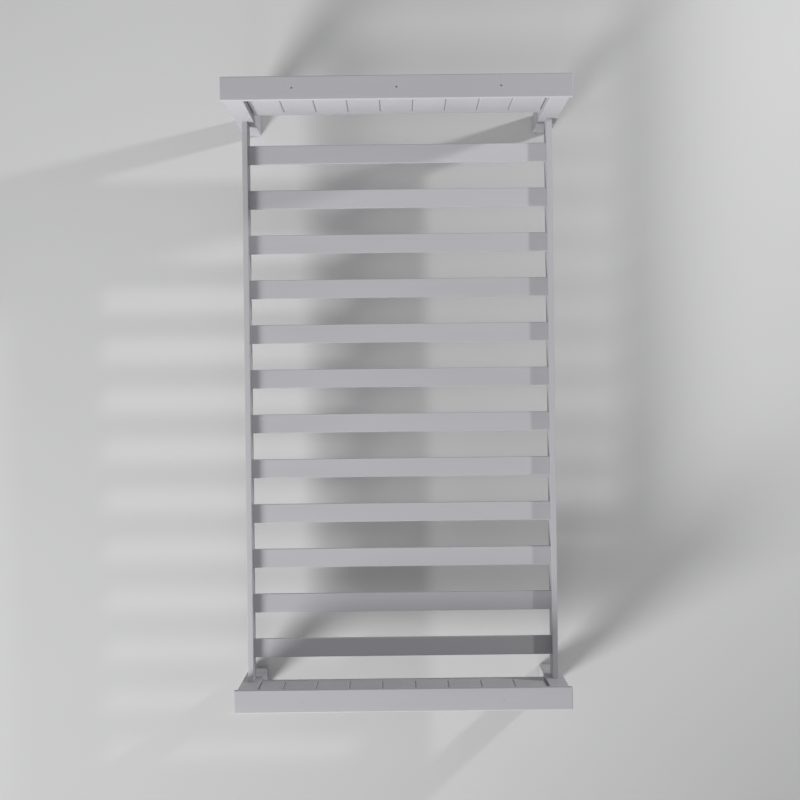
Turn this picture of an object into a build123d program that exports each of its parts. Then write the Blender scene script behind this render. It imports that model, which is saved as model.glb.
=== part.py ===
from build123d import *
import os

# Slatted single bed frame: headboard, footboard, two side rails and twelve slats.
#
# Units are millimetres.  The origin is on the floor, under the middle of the bed.
# +Y points to the headboard, +X to the right of a person who looks at the headboard
# from the foot of the bed, and +Z up.
#
# Each end of the bed is a frame of two square posts, a top rail and a bottom rail.
# Tongue and groove planks stand in the grooves of that frame, and a cap board is
# screwed and dowelled on top.  The headboard's planks stand in the middle of its posts
# and stop just above the slats.  The footboard's planks are flush with the inner face of
# its top rail and reach down to the underside of the side rails.  Each side rail is
# pulled against the posts by bolts and barrel nuts, and holds the ends of the slats in
# blind mortises.

os.makedirs("parts", exist_ok=True)

# ---------------------------------------------------------------- overall sizes
POST_SPACING_X = 974.0        # clear width between the left and the right posts
POST_SPACING_Y = 1908.0       # clear length between headboard and footboard posts
HEADBOARD_HEIGHT = 848.0      # floor to the top of the headboard cap
FOOTBOARD_HEIGHT = 588.0      # floor to the top of the footboard cap

# ---------------------------------------------------------------- posts and feet
POST_SIZE = 63.0              # side of the square post
POST_EDGE = 2.5               # rounding of the long edges of a post
GLIDE_HEIGHT = 5.0            # thickness of the disc under a post
GLIDE_DIAMETER = 36.0
GLIDE_EDGE = 1.2              # rounding of the disc's lower edge
GLIDE_NAIL_DIAMETER = 3.0
GLIDE_NAIL_LENGTH = 18.0

# ---------------------------------------------------------------- cap boards
CAP_THICKNESS = 24.0
CAP_OVERHANG = 6.0            # how far a cap stands out past the posts, all round
CAP_EDGE = 3.0                # rounding of every edge of a cap
CAP_SCREW_SPACING = 330.0     # between neighbouring cap screws
CAP_DOWEL_DIAMETER = 10.0
CAP_DOWEL_IN_CAP = 14.0
CAP_DOWEL_IN_POST = 26.0

# ---------------------------------------------------------------- end frames
TOP_RAIL_DEPTH = 43.0         # along Y
TOP_RAIL_HEIGHT = 60.0
BOTTOM_RAIL_HEIGHT = 60.0
HEADBOARD_PANEL_BOTTOM = 345.0  # floor to the underside of the headboard's bottom rail
HEADBOARD_PANEL_OFFSET = 0.0  # middle of the planks from the middle of the posts, along Y
RAIL_EDGE = 1.5               # rounding of the long edges of the end rails

# ---------------------------------------------------------------- planks
PLANK_COUNT = 9
PLANK_THICKNESS = 20.0
PLANK_BEVEL = 3.5             # half the width of the V between two planks
FOOT_END_PLANK = 82.0         # the left footboard plank, ripped narrow to fit
TONGUE_THICKNESS = 7.0
TONGUE_DEPTH = 8.0

# ---------------------------------------------------------------- side rails
SIDE_RAIL_THICKNESS = 18.5
SIDE_RAIL_HEIGHT = 118.0
SIDE_RAIL_TOP = 358.0         # floor to the top edge of a side rail
SIDE_RAIL_EDGE = 1.5

# ---------------------------------------------------------------- slats
SLAT_COUNT = 12
SLAT_WIDTH = 63.5
SLAT_THICKNESS = 18.0
SLAT_DROP = 33.0              # slat top below the top edge of the side rail
SLAT_END_GAP = 79.5           # from the plane of the post faces to the first slat
SLAT_HOUSING = 8.0            # length of a slat's end inside the side rail
SLAT_EDGE = 2.0

# ---------------------------------------------------------------- bolts and pins
BOLT_DIAMETER = 6.0
BOLT_SPACING = 56.0           # between the two bolts of one rail end, along Z
BOLT_HEAD_DIAMETER = 10.0
BOLT_HEAD_HEIGHT = 6.0
BOLT_SOCKET_WIDTH = 5.0       # hexagon key, across flats
BOLT_SOCKET_DEPTH = 3.0
BOLT_IN_RAIL = 46.0           # length of bolt inside the side rail
COUNTERBORE_DIAMETER = 19.0
COUNTERBORE_DEPTH = 10.0
WASHER_DIAMETER = 18.0
WASHER_THICKNESS = 1.6
BARREL_NUT_DIAMETER = 10.0
BARREL_NUT_LENGTH = 14.0
BARREL_NUT_SETBACK = 34.0     # from the end of the side rail to the nut's axis
RAIL_DOWEL_DIAMETER = 8.0
RAIL_DOWEL_IN_RAIL = 22.0
RAIL_DOWEL_IN_POST = 14.0
SCREW_DIAMETER = 4.0
SCREW_HEAD_DIAMETER = 6.0
SCREW_HEAD_HEIGHT = 3.5
SCREW_LENGTH = 55.0
SCREW_SINK = 4.0              # screw head below the cap's top face
SCREW_RECESS_WIDTH = 2.4      # square drive, across flats
SCREW_RECESS_DEPTH = 1.8
SCREW_POINT_CHAMFER = 1.3     # at the tip, on a 2 mm radius
DOWEL_CHAMFER = 1.0           # at both ends of every dowel

# ---------------------------------------------------------------- fits
JOINT_CLEARANCE = 0.25        # each side of a tongue, a tenon or a slat end
SHOULDER_GAP = 0.5            # free space past the end of a tongue, tenon or pin
PIN_CLEARANCE = 0.1           # radial, around bolts, screws, nuts and dowels
CUT_OVERRUN = 1.0             # how far a cut starts outside the face that it opens

# ---------------------------------------------------------------- derived places
POST_INNER_X = POST_SPACING_X / 2
POST_CENTRE_X = POST_INNER_X + POST_SIZE / 2
POST_INNER_Y = POST_SPACING_Y / 2
POST_CENTRE_Y = POST_INNER_Y + POST_SIZE / 2
FOOTBOARD_PANEL_OFFSET = (TOP_RAIL_DEPTH - PLANK_THICKNESS) / 2
SIDE_RAIL_BOTTOM = SIDE_RAIL_TOP - SIDE_RAIL_HEIGHT
SIDE_RAIL_INNER_X = POST_CENTRE_X - SIDE_RAIL_THICKNESS / 2
SIDE_RAIL_MIDDLE_Z = SIDE_RAIL_BOTTOM + SIDE_RAIL_HEIGHT / 2
SLAT_TOP = SIDE_RAIL_TOP - SLAT_DROP
SLAT_BOTTOM = SLAT_TOP - SLAT_THICKNESS
SLAT_SPAN_Y = POST_SPACING_Y - 2 * SLAT_END_GAP - SLAT_WIDTH
SLAT_PITCH = SLAT_SPAN_Y / (SLAT_COUNT - 1)
GROOVE_WIDTH = TONGUE_THICKNESS + 2 * JOINT_CLEARANCE
GROOVE_DEPTH = TONGUE_DEPTH + SHOULDER_GAP

ENDS = {
    "headboard": {
        "side": 1,
        "height": HEADBOARD_HEIGHT,
        "panel_bottom": HEADBOARD_PANEL_BOTTOM,
        "panel_offset": HEADBOARD_PANEL_OFFSET,
    },
    "footboard": {
        "side": -1,
        "height": FOOTBOARD_HEIGHT,
        "panel_bottom": SIDE_RAIL_BOTTOM,
        "panel_offset": FOOTBOARD_PANEL_OFFSET,
    },
}
SIDES = {"left": -1, "right": 1}


def block(x0, x1, y0, y1, z0, z1):
    """A plain block between two corners, given in either order."""
    size = (abs(x1 - x0), abs(y1 - y0), abs(z1 - z0))
    middle = ((x0 + x1) / 2, (y0 + y1) / 2, (z0 + z1) / 2)
    return Pos(*middle) * Box(*size)


def rod_z(diameter, x, y, z0, z1):
    """A round pin or hole along Z."""
    return Pos(x, y, (z0 + z1) / 2) * Cylinder(diameter / 2, abs(z1 - z0))


def rod_x(diameter, x0, x1, y, z):
    """A round pin or hole along X."""
    return Pos((x0 + x1) / 2, y, z) * Rot(0, 90, 0) * Cylinder(diameter / 2, abs(x1 - x0))


def rod_y(diameter, x, y0, y1, z):
    """A round pin or hole along Y."""
    return Pos(x, (y0 + y1) / 2, z) * Rot(90, 0, 0) * Cylinder(diameter / 2, abs(y1 - y0))


def bore(diameter):
    """Diameter of the hole for a pin."""
    return diameter + 2 * PIN_CLEARANCE


def round_long_edges(solid, axis, radius):
    """Round the edges of a block that run along one axis."""
    return fillet(solid.edges().filter_by(axis), radius)


def save(shape, node):
    """Write one named piece."""
    shape.label = node
    export_step(shape, f"parts/{node}.step")


def end_levels(end):
    """Heights of the pieces of one end frame, from the floor."""
    cap_bottom = end["height"] - CAP_THICKNESS
    return {
        "cap_bottom": cap_bottom,
        "top_rail_bottom": cap_bottom - TOP_RAIL_HEIGHT,
        "bottom_rail_bottom": end["panel_bottom"],
        "bottom_rail_top": end["panel_bottom"] + BOTTOM_RAIL_HEIGHT,
    }


def panel_middle_y(end):
    """Middle plane of the planks of one end."""
    return end["side"] * POST_CENTRE_Y + end["panel_offset"]


def bolt_heights():
    """Heights of the two bolts of a rail end."""
    return [SIDE_RAIL_MIDDLE_Z + step * BOLT_SPACING / 2 for step in (-1, 1)]


def cap_screw_places(end):
    """The three screws along the middle of a cap."""
    return [(step * CAP_SCREW_SPACING, end["side"] * POST_CENTRE_Y) for step in (-1, 0, 1)]


def slat_places():
    """Middle of each slat along Y, from the headboard to the footboard."""
    return [SLAT_SPAN_Y / 2 - index * SLAT_PITCH for index in range(SLAT_COUNT)]


# ---------------------------------------------------------------- posts
def make_post(end, side_x):
    """A post with its panel groove, bolt holes and the holes for dowels and glide."""
    levels = end_levels(end)
    x = side_x * POST_CENTRE_X
    y = end["side"] * POST_CENTRE_Y
    half = POST_SIZE / 2
    top = levels["cap_bottom"]
    post = block(x - half, x + half, y - half, y + half, GLIDE_HEIGHT, top)
    post = round_long_edges(post, Axis.Z, POST_EDGE)

    face_x = side_x * POST_INNER_X
    groove_y = panel_middle_y(end)
    post -= block(
        face_x - side_x * CUT_OVERRUN,
        face_x + side_x * GROOVE_DEPTH,
        groove_y - GROOVE_WIDTH / 2,
        groove_y + GROOVE_WIDTH / 2,
        levels["bottom_rail_bottom"],
        top + CUT_OVERRUN,
    )

    inner_y = end["side"] * POST_INNER_Y
    outer_y = inner_y + end["side"] * POST_SIZE
    seat_y = outer_y - end["side"] * COUNTERBORE_DEPTH
    overrun_y = end["side"] * CUT_OVERRUN
    for z in bolt_heights():
        post -= rod_y(bore(BOLT_DIAMETER), x, inner_y - overrun_y, outer_y, z)
        post -= rod_y(COUNTERBORE_DIAMETER, x, seat_y, outer_y + overrun_y, z)

    dowel_end_y = inner_y + end["side"] * (RAIL_DOWEL_IN_POST + SHOULDER_GAP)
    dowel_start_y = inner_y - overrun_y
    post -= rod_y(bore(RAIL_DOWEL_DIAMETER), x, dowel_start_y, dowel_end_y, SIDE_RAIL_MIDDLE_Z)

    dowel_depth = CAP_DOWEL_IN_POST + SHOULDER_GAP
    post -= rod_z(bore(CAP_DOWEL_DIAMETER), x, y, top - dowel_depth, top + CUT_OVERRUN)
    nail_top = GLIDE_HEIGHT + GLIDE_NAIL_LENGTH + SHOULDER_GAP
    post -= rod_z(bore(GLIDE_NAIL_DIAMETER), x, y, 0, nail_top)
    return post


# ---------------------------------------------------------------- caps
def make_cap(end):
    """A cap board with stepped screw holes and blind dowel holes."""
    half_x = POST_CENTRE_X + POST_SIZE / 2 + CAP_OVERHANG
    half_y = POST_SIZE / 2 + CAP_OVERHANG
    y = end["side"] * POST_CENTRE_Y
    top = end["height"]
    bottom = end_levels(end)["cap_bottom"]
    cap = block(-half_x, half_x, y - half_y, y + half_y, bottom, top)
    cap = fillet(cap.edges(), CAP_EDGE)
    for screw_x, screw_y in cap_screw_places(end):
        cap -= rod_z(bore(SCREW_DIAMETER), screw_x, screw_y, bottom - CUT_OVERRUN, top)
        head_seat = top - SCREW_SINK - SCREW_HEAD_HEIGHT
        cap -= rod_z(bore(SCREW_HEAD_DIAMETER), screw_x, screw_y, head_seat, top + CUT_OVERRUN)
    dowel_start = bottom - CUT_OVERRUN
    dowel_top = bottom + CAP_DOWEL_IN_CAP + SHOULDER_GAP
    for side_x in SIDES.values():
        cap -= rod_z(bore(CAP_DOWEL_DIAMETER), side_x * POST_CENTRE_X, y, dowel_start, dowel_top)
    return cap


def make_cap_screws(end):
    """Three small-headed wood screws with a square drive."""
    screws = []
    head_top = end["height"] - SCREW_SINK
    head_bottom = head_top - SCREW_HEAD_HEIGHT
    for x, y in cap_screw_places(end):
        screw = rod_z(SCREW_HEAD_DIAMETER, x, y, head_bottom, head_top)
        screw += rod_z(SCREW_DIAMETER, x, y, head_top - SCREW_LENGTH, head_bottom)
        tip = screw.faces().sort_by(Axis.Z)[0].edges()
        screw = chamfer(tip, SCREW_POINT_CHAMFER)
        half = SCREW_RECESS_WIDTH / 2
        drive_bottom = head_top - SCREW_RECESS_DEPTH
        drive_top = head_top + CUT_OVERRUN
        screw -= block(x - half, x + half, y - half, y + half, drive_bottom, drive_top)
        screws.append(screw)
    return Compound(screws)


def make_cap_dowels(end):
    """Two dowels that join a cap to the tops of its posts."""
    joint_z = end_levels(end)["cap_bottom"]
    y = end["side"] * POST_CENTRE_Y
    dowels = []
    for side_x in SIDES.values():
        low = joint_z - CAP_DOWEL_IN_POST
        high = joint_z + CAP_DOWEL_IN_CAP
        dowel = rod_z(CAP_DOWEL_DIAMETER, side_x * POST_CENTRE_X, y, low, high)
        dowels.append(chamfer(dowel.edges().filter_by(GeomType.CIRCLE), DOWEL_CHAMFER))
    return Compound(dowels)


# ---------------------------------------------------------------- end rails
def rail_tenons(end, low, high):
    """A slab that puts a stub tenon on both ends of an end rail."""
    half_x = POST_INNER_X + TONGUE_DEPTH
    y = panel_middle_y(end)
    half_y = TONGUE_THICKNESS / 2
    return block(-half_x, half_x, y - half_y, y + half_y, low, high)


def make_top_rail(end):
    """The rail under a cap, with a groove for the planks and holes for the screws."""
    levels = end_levels(end)
    low = levels["top_rail_bottom"]
    high = levels["cap_bottom"]
    y = end["side"] * POST_CENTRE_Y
    half_y = TOP_RAIL_DEPTH / 2
    rail = block(-POST_INNER_X, POST_INNER_X, y - half_y, y + half_y, low, high)
    rail = round_long_edges(rail, Axis.X, RAIL_EDGE)
    rail += rail_tenons(end, low, high)
    groove_y = panel_middle_y(end)
    half_groove = GROOVE_WIDTH / 2
    length = POST_SPACING_X
    rail -= block(
        -length,
        length,
        groove_y - half_groove,
        groove_y + half_groove,
        low - CUT_OVERRUN,
        low + GROOVE_DEPTH,
    )
    for screw_x, screw_y in cap_screw_places(end):
        tip = end["height"] - SCREW_SINK - SCREW_LENGTH - SHOULDER_GAP
        rail -= rod_z(bore(SCREW_DIAMETER), screw_x, screw_y, tip, high + CUT_OVERRUN)
    return rail


def make_bottom_rail(end):
    """The rail under the planks, with a groove along its top edge."""
    levels = end_levels(end)
    low = levels["bottom_rail_bottom"]
    high = levels["bottom_rail_top"]
    y = panel_middle_y(end)
    half_y = PLANK_THICKNESS / 2
    rail = block(-POST_INNER_X, POST_INNER_X, y - half_y, y + half_y, low, high)
    rail = round_long_edges(rail, Axis.X, RAIL_EDGE)
    rail += rail_tenons(end, low, high)
    half_groove = GROOVE_WIDTH / 2
    length = POST_SPACING_X
    rail -= block(
        -length,
        length,
        y - half_groove,
        y + half_groove,
        high - GROOVE_DEPTH,
        high + CUT_OVERRUN,
    )
    return rail


# ---------------------------------------------------------------- planks
def plank_widths(name):
    """Face width of each plank from left to right."""
    if name == "headboard":
        return [POST_SPACING_X / PLANK_COUNT] * PLANK_COUNT
    full = (POST_SPACING_X - FOOT_END_PLANK) / (PLANK_COUNT - 1)
    return [FOOT_END_PLANK] + [full] * (PLANK_COUNT - 1)


def make_plank(end, x0, x1, first):
    """One plank: bevelled faces, tongues on its ends and right edge, groove on its left.

    The first plank has a tongue on its left edge too, which sits in the post.
    """
    levels = end_levels(end)
    low = levels["bottom_rail_top"]
    high = levels["top_rail_bottom"]
    y = panel_middle_y(end)
    half_y = PLANK_THICKNESS / 2
    plank = block(x0, x1, y - half_y, y + half_y, low, high)
    plank = chamfer(plank.edges().filter_by(Axis.Z), PLANK_BEVEL)

    tongue_x0 = x0 - TONGUE_DEPTH if first else x0
    half_tongue = TONGUE_THICKNESS / 2
    plank += block(
        tongue_x0,
        x1 + TONGUE_DEPTH,
        y - half_tongue,
        y + half_tongue,
        low - TONGUE_DEPTH,
        high + TONGUE_DEPTH,
    )
    if not first:
        half_groove = GROOVE_WIDTH / 2
        reach = TONGUE_DEPTH + CUT_OVERRUN
        plank -= block(
            x0 - CUT_OVERRUN,
            x0 + GROOVE_DEPTH,
            y - half_groove,
            y + half_groove,
            low - reach,
            high + reach,
        )
    return plank


# ---------------------------------------------------------------- side rails
def make_side_rail(side_x):
    """A side rail with blind mortises for the slats and the holes for its fixings."""
    inner_x = side_x * SIDE_RAIL_INNER_X
    outer_x = inner_x + side_x * SIDE_RAIL_THICKNESS
    centre_x = side_x * POST_CENTRE_X
    rail = block(inner_x, outer_x, -POST_INNER_Y, POST_INNER_Y, SIDE_RAIL_BOTTOM, SIDE_RAIL_TOP)
    rail = round_long_edges(rail, Axis.Y, SIDE_RAIL_EDGE)

    mouth_x = inner_x - side_x * CUT_OVERRUN
    mortise_x = inner_x + side_x * (SLAT_HOUSING + SHOULDER_GAP)
    half_mortise = SLAT_WIDTH / 2 + JOINT_CLEARANCE
    mortise_top = SLAT_TOP + JOINT_CLEARANCE
    for y in slat_places():
        rail -= block(
            mouth_x, mortise_x, y - half_mortise, y + half_mortise, SLAT_BOTTOM, mortise_top
        )

    for side_y in (-1, 1):
        end_y = side_y * POST_INNER_Y
        start_y = end_y + side_y * CUT_OVERRUN
        bolt_tip_y = end_y - side_y * (BOLT_IN_RAIL + SHOULDER_GAP)
        nut_y = end_y - side_y * BARREL_NUT_SETBACK
        nut_far_x = centre_x + side_x * (BARREL_NUT_LENGTH / 2)
        for z in bolt_heights():
            rail -= rod_y(bore(BOLT_DIAMETER), centre_x, bolt_tip_y, start_y, z)
            rail -= rod_x(bore(BARREL_NUT_DIAMETER), mouth_x, nut_far_x, nut_y, z)
        dowel_tip_y = end_y - side_y * (RAIL_DOWEL_IN_RAIL + SHOULDER_GAP)
        dowel_hole = bore(RAIL_DOWEL_DIAMETER)
        rail -= rod_y(dowel_hole, centre_x, dowel_tip_y, start_y, SIDE_RAIL_MIDDLE_Z)
    return rail


# ---------------------------------------------------------------- slats
def make_slat(y):
    """A slat with rounded long edges."""
    half_x = SIDE_RAIL_INNER_X + SLAT_HOUSING
    half_y = SLAT_WIDTH / 2
    slat = block(-half_x, half_x, y - half_y, y + half_y, SLAT_BOTTOM, SLAT_TOP)
    return round_long_edges(slat, Axis.X, SLAT_EDGE)


# ---------------------------------------------------------------- rail fixings
def rail_end_places(end):
    """Centre of each bolt of one end of the bed, as x and z."""
    return [(side * POST_CENTRE_X, z) for side in SIDES.values() for z in bolt_heights()]


def make_bed_bolts(end):
    """Socket head bolts that run through the posts into the side rails."""
    side_y = end["side"]
    outer_y = side_y * (POST_INNER_Y + POST_SIZE)
    washer_seat_y = outer_y - side_y * COUNTERBORE_DEPTH
    head_seat_y = washer_seat_y + side_y * WASHER_THICKNESS
    head_top_y = head_seat_y + side_y * BOLT_HEAD_HEIGHT
    tip_y = side_y * (POST_INNER_Y - BOLT_IN_RAIL)
    socket_y = head_top_y - side_y * BOLT_SOCKET_DEPTH
    socket_radius = BOLT_SOCKET_WIDTH / 2
    socket_reach = BOLT_SOCKET_DEPTH + CUT_OVERRUN
    bolts = []
    for x, z in rail_end_places(end):
        bolt = rod_y(BOLT_DIAMETER, x, tip_y, head_seat_y, z)
        bolt += rod_y(BOLT_HEAD_DIAMETER, x, head_seat_y, head_top_y, z)
        hexagon = Plane.XZ * RegularPolygon(socket_radius, 6, major_radius=False)
        socket = extrude(hexagon, amount=socket_reach, both=True)
        bolt -= Pos(x, socket_y + side_y * socket_reach, z) * socket
        bolts.append(bolt)
    return Compound(bolts)


def make_washers(end):
    """A washer under each bolt head."""
    side_y = end["side"]
    seat_y = side_y * (POST_INNER_Y + POST_SIZE - COUNTERBORE_DEPTH)
    face_y = seat_y + side_y * WASHER_THICKNESS
    overrun_y = side_y * CUT_OVERRUN
    washers = []
    for x, z in rail_end_places(end):
        washer = rod_y(WASHER_DIAMETER, x, seat_y, face_y, z)
        washer -= rod_y(bore(BOLT_DIAMETER), x, seat_y - overrun_y, face_y + overrun_y, z)
        washers.append(washer)
    return Compound(washers)


def make_barrel_nuts(end):
    """Cross nuts in the side rails, each with a through hole for its bolt."""
    side_y = end["side"]
    y = side_y * (POST_INNER_Y - BARREL_NUT_SETBACK)
    half = BARREL_NUT_LENGTH / 2
    reach = BARREL_NUT_DIAMETER
    nuts = []
    for x, z in rail_end_places(end):
        nut = rod_x(BARREL_NUT_DIAMETER, x - half, x + half, y, z)
        nut -= rod_y(bore(BOLT_DIAMETER), x, y - reach, y + reach, z)
        nuts.append(nut)
    return Compound(nuts)


def make_rail_dowels(end):
    """One locating dowel between the two bolts of each rail end."""
    side_y = end["side"]
    tip_y = side_y * (POST_INNER_Y - RAIL_DOWEL_IN_RAIL)
    root_y = side_y * (POST_INNER_Y + RAIL_DOWEL_IN_POST)
    dowels = []
    for side_x in SIDES.values():
        dowel = rod_y(RAIL_DOWEL_DIAMETER, side_x * POST_CENTRE_X, tip_y, root_y, SIDE_RAIL_MIDDLE_Z)
        dowels.append(chamfer(dowel.edges().filter_by(GeomType.CIRCLE), DOWEL_CHAMFER))
    return Compound(dowels)


# ---------------------------------------------------------------- foot glides
def make_glides(end):
    """Nail-on discs under the two posts of one end."""
    glides = []
    for side_x in SIDES.values():
        x = side_x * POST_CENTRE_X
        y = end["side"] * POST_CENTRE_Y
        glide = rod_z(GLIDE_DIAMETER, x, y, 0, GLIDE_HEIGHT)
        glide = fillet(glide.edges().sort_by(Axis.Z)[0], GLIDE_EDGE)
        nail_top = GLIDE_HEIGHT + GLIDE_NAIL_LENGTH
        glide += rod_z(GLIDE_NAIL_DIAMETER, x, y, GLIDE_HEIGHT, nail_top)
        glides.append(glide)
    return Compound(glides)


# ---------------------------------------------------------------- build all pieces
for end_name, bed_end in ENDS.items():
    for side_name, side in SIDES.items():
        save(make_post(bed_end, side), f"{end_name}_{side_name}_post")
    save(make_cap(bed_end), f"{end_name}_cap")
    save(make_top_rail(bed_end), f"{end_name}_top_rail")
    save(make_bottom_rail(bed_end), f"{end_name}_bottom_rail")
    left_x = -POST_INNER_X
    for number, width in enumerate(plank_widths(end_name), start=1):
        plank_solid = make_plank(bed_end, left_x, left_x + width, number == 1)
        save(plank_solid, f"{end_name}_plank_{number}")
        left_x += width
    save(make_cap_screws(bed_end), f"{end_name}_cap_screws")
    save(make_cap_dowels(bed_end), f"{end_name}_cap_dowels")
    save(make_bed_bolts(bed_end), f"{end_name}_bed_bolts")
    save(make_washers(bed_end), f"{end_name}_bolt_washers")
    save(make_barrel_nuts(bed_end), f"{end_name}_barrel_nuts")
    save(make_rail_dowels(bed_end), f"{end_name}_rail_dowels")
    save(make_glides(bed_end), f"{end_name}_foot_glides")

for side_name, side in SIDES.items():
    save(make_side_rail(side), f"{side_name}_side_rail")

for number, slat_y in enumerate(slat_places(), start=1):
    save(make_slat(slat_y), f"slat_{number:02d}")

print(f"slat pitch {SLAT_PITCH:.1f}, slat top {SLAT_TOP:.1f}")
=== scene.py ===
# %% [markdown]
# # A painted single bed frame
#
# The bed is made of planed softwood boards under a thin coat of matt white paint.
# Two end frames with upright planks carry two side rails, and twelve slats lie in
# mortises in those rails.  The measured model of every piece is loaded first, and
# everything that follows takes its place from it.

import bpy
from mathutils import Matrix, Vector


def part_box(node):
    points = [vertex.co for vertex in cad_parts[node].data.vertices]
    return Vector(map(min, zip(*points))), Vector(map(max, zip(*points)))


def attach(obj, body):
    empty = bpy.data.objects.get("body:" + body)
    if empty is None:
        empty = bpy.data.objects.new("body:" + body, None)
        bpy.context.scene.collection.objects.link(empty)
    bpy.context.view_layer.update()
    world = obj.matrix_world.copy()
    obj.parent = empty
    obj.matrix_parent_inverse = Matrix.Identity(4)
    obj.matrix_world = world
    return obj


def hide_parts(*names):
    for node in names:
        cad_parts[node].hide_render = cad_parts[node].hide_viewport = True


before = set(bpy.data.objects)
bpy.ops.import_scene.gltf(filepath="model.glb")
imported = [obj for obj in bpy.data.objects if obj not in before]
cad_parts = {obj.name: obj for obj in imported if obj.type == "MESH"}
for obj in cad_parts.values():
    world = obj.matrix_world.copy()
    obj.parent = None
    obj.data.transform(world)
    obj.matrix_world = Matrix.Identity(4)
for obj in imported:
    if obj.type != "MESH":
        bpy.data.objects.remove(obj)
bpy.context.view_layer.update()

# %% [markdown]
# ## Modules and common names
#
# Blender works in metres, and furniture is measured in millimetres, so a size below is a
# number of millimetres times MM.  The headboard stands at +Y and the footboard at -Y.
# The measured pieces are still selected after they are loaded.  Everything is deselected
# first, because an edit-mode operator acts on all that is selected.

# %% Modules and names used all through
import math

import bmesh
import bpy
from mathutils import Vector

ENDS = {"headboard": 1, "footboard": -1}
SIDES = {"left": -1, "right": 1}
MM = 0.001

bpy.ops.object.select_all(action="DESELECT")
print("ends", ENDS, "sides", SIDES, "selected", len(bpy.context.selected_objects))

# %% [markdown]
# ## Looking straight down
#
# The bed is seen from a point 6.8 m above the floor, over its middle, by a lens of about
# 85 mm.  From there the caps look larger than the feet, and the planks of both ends show
# as narrow strips.  A parallel view would be simpler, but it would hide the planks.  The
# bed lies a fraction of a degree out of square with the view.

# %% Camera
CAMERA_HEIGHT = 6.80
CAMERA_ROLL = -0.0117
FOCAL_LENGTH = 85.19
SENSOR_WIDTH = 36.0

camera_data = bpy.data.cameras.new("overhead_camera")
camera_data.sensor_width = SENSOR_WIDTH
camera_data.lens = FOCAL_LENGTH
camera = bpy.data.objects.new("overhead_camera", camera_data)
camera.location = (0.0, 0.0, CAMERA_HEIGHT)
camera.rotation_euler = (0.0, 0.0, CAMERA_ROLL)
bpy.context.scene.collection.objects.link(camera)
bpy.context.scene.camera = camera
print("the floor in view is", round(CAMERA_HEIGHT * SENSOR_WIDTH / FOCAL_LENGTH, 2), "m wide")

# %% [markdown]
# ## Studio light
#
# A large soft lamp stands beyond the foot of the bed, on the left.  It gives the broad
# blurred shadows.  A smaller and lower lamp on the right throws the ladder of slat
# shadows across the floor.  A third one, low down beyond the foot, brightens only the
# upright faces that look that way.  Round area lamps are used because a lamp's size sets
# how soft its shadows are.


# %% Lamps
def round_lamp(name, place, diameter, power, aim=(0.0, 0.0, 0.2)):
    """A round area lamp that faces the slats in the middle of the bed, or another aim."""
    lamp = bpy.data.lights.new(name, "AREA")
    lamp.shape = "DISK"
    lamp.size = diameter
    lamp.energy = power
    holder = bpy.data.objects.new(name, lamp)
    holder.location = place
    facing = Vector(aim) - Vector(place)
    holder.rotation_euler = facing.to_track_quat("-Z", "Y").to_euler()
    bpy.context.scene.collection.objects.link(holder)
    return holder


soft_lamp = round_lamp("soft_lamp", (-4.15, -4.28, 3.80), 2.3, 420.0, (1.5, 1.5, 1.0))
crisp_lamp = round_lamp("crisp_lamp", (3.966, 2.055, 2.16), 0.29, 92.0)
low_lamp = round_lamp("low_lamp", (-0.5, -8.0, 1.0), 2.0, 252.0, (0.0, 0.0, 0.6))
for lamp in (soft_lamp, crisp_lamp, low_lamp):
    print(lamp.name, "gives", round(lamp.data.energy), "W from", round(lamp.data.size, 2), "m")

# %% [markdown]
# ### Sky
#
# A pale, faintly cool sky fills the shadows from all sides, as the white walls of a studio
# do.  The plain Standard view keeps the pale greys as they are, where a filmic view would
# flatten them.

# %% Sky and view
SKY_COLOUR = (0.985, 0.99, 1.0, 1.0)
SKY_STRENGTH = 0.345

sky = bpy.data.worlds.new("pale_sky")
sky.use_nodes = True
sky_background = sky.node_tree.nodes["Background"]
sky_background.inputs["Color"].default_value = SKY_COLOUR
sky_background.inputs["Strength"].default_value = SKY_STRENGTH
bpy.context.scene.world = sky
bpy.context.scene.view_settings.view_transform = "Standard"
print("sky strength", SKY_STRENGTH)

# %% [markdown]
# ## Node groups for paint on wood
#
# A coat of paint on a board is never one flat colour.  The brush leaves fine streaks
# along the board, the wood's grain swells a little under the film, and the tone drifts
# from one end to the other.  One group makes this pattern, and every painted board uses
# it with its own direction and start.  Coordinates are metres, with the board's length
# along X, so each scale below is a number of features per metre.


# %% Tools for building node groups
def new_group(name, inputs, outputs):
    """An empty shader node group with named sockets, and its two end nodes."""
    tree = bpy.data.node_groups.new(name, "ShaderNodeTree")
    for label, kind, value in inputs:
        socket = tree.interface.new_socket(label, in_out="INPUT", socket_type=kind)
        if value is not None:
            socket.default_value = value
    for label, kind in outputs:
        tree.interface.new_socket(label, in_out="OUTPUT", socket_type=kind)
    start = tree.nodes.new("NodeGroupInput")
    end = tree.nodes.new("NodeGroupOutput")
    return tree, start, end


def add(tree, kind, values=None, links=None, **settings):
    """A node with its settings, the fixed values of its inputs, and what is wired into them."""
    node = tree.nodes.new(kind)
    for label, value in settings.items():
        setattr(node, label, value)
    for label, value in (values or {}).items():
        node.inputs[label].default_value = value
    for label, source in (links or {}).items():
        tree.links.new(source, node.inputs[label])
    return node


# %% [markdown]
# ### Sums, ranges and noise
#
# Most of a pattern is noise that is stretched, brought into a useful range, and added up.
# Blender's noise seldom leaves 0.3 to 0.7, so that range is spread over the values that
# are wanted.


# %% Tools for sums, ranges and noise
NOISE_LOW = 0.3
NOISE_HIGH = 0.7


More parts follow.
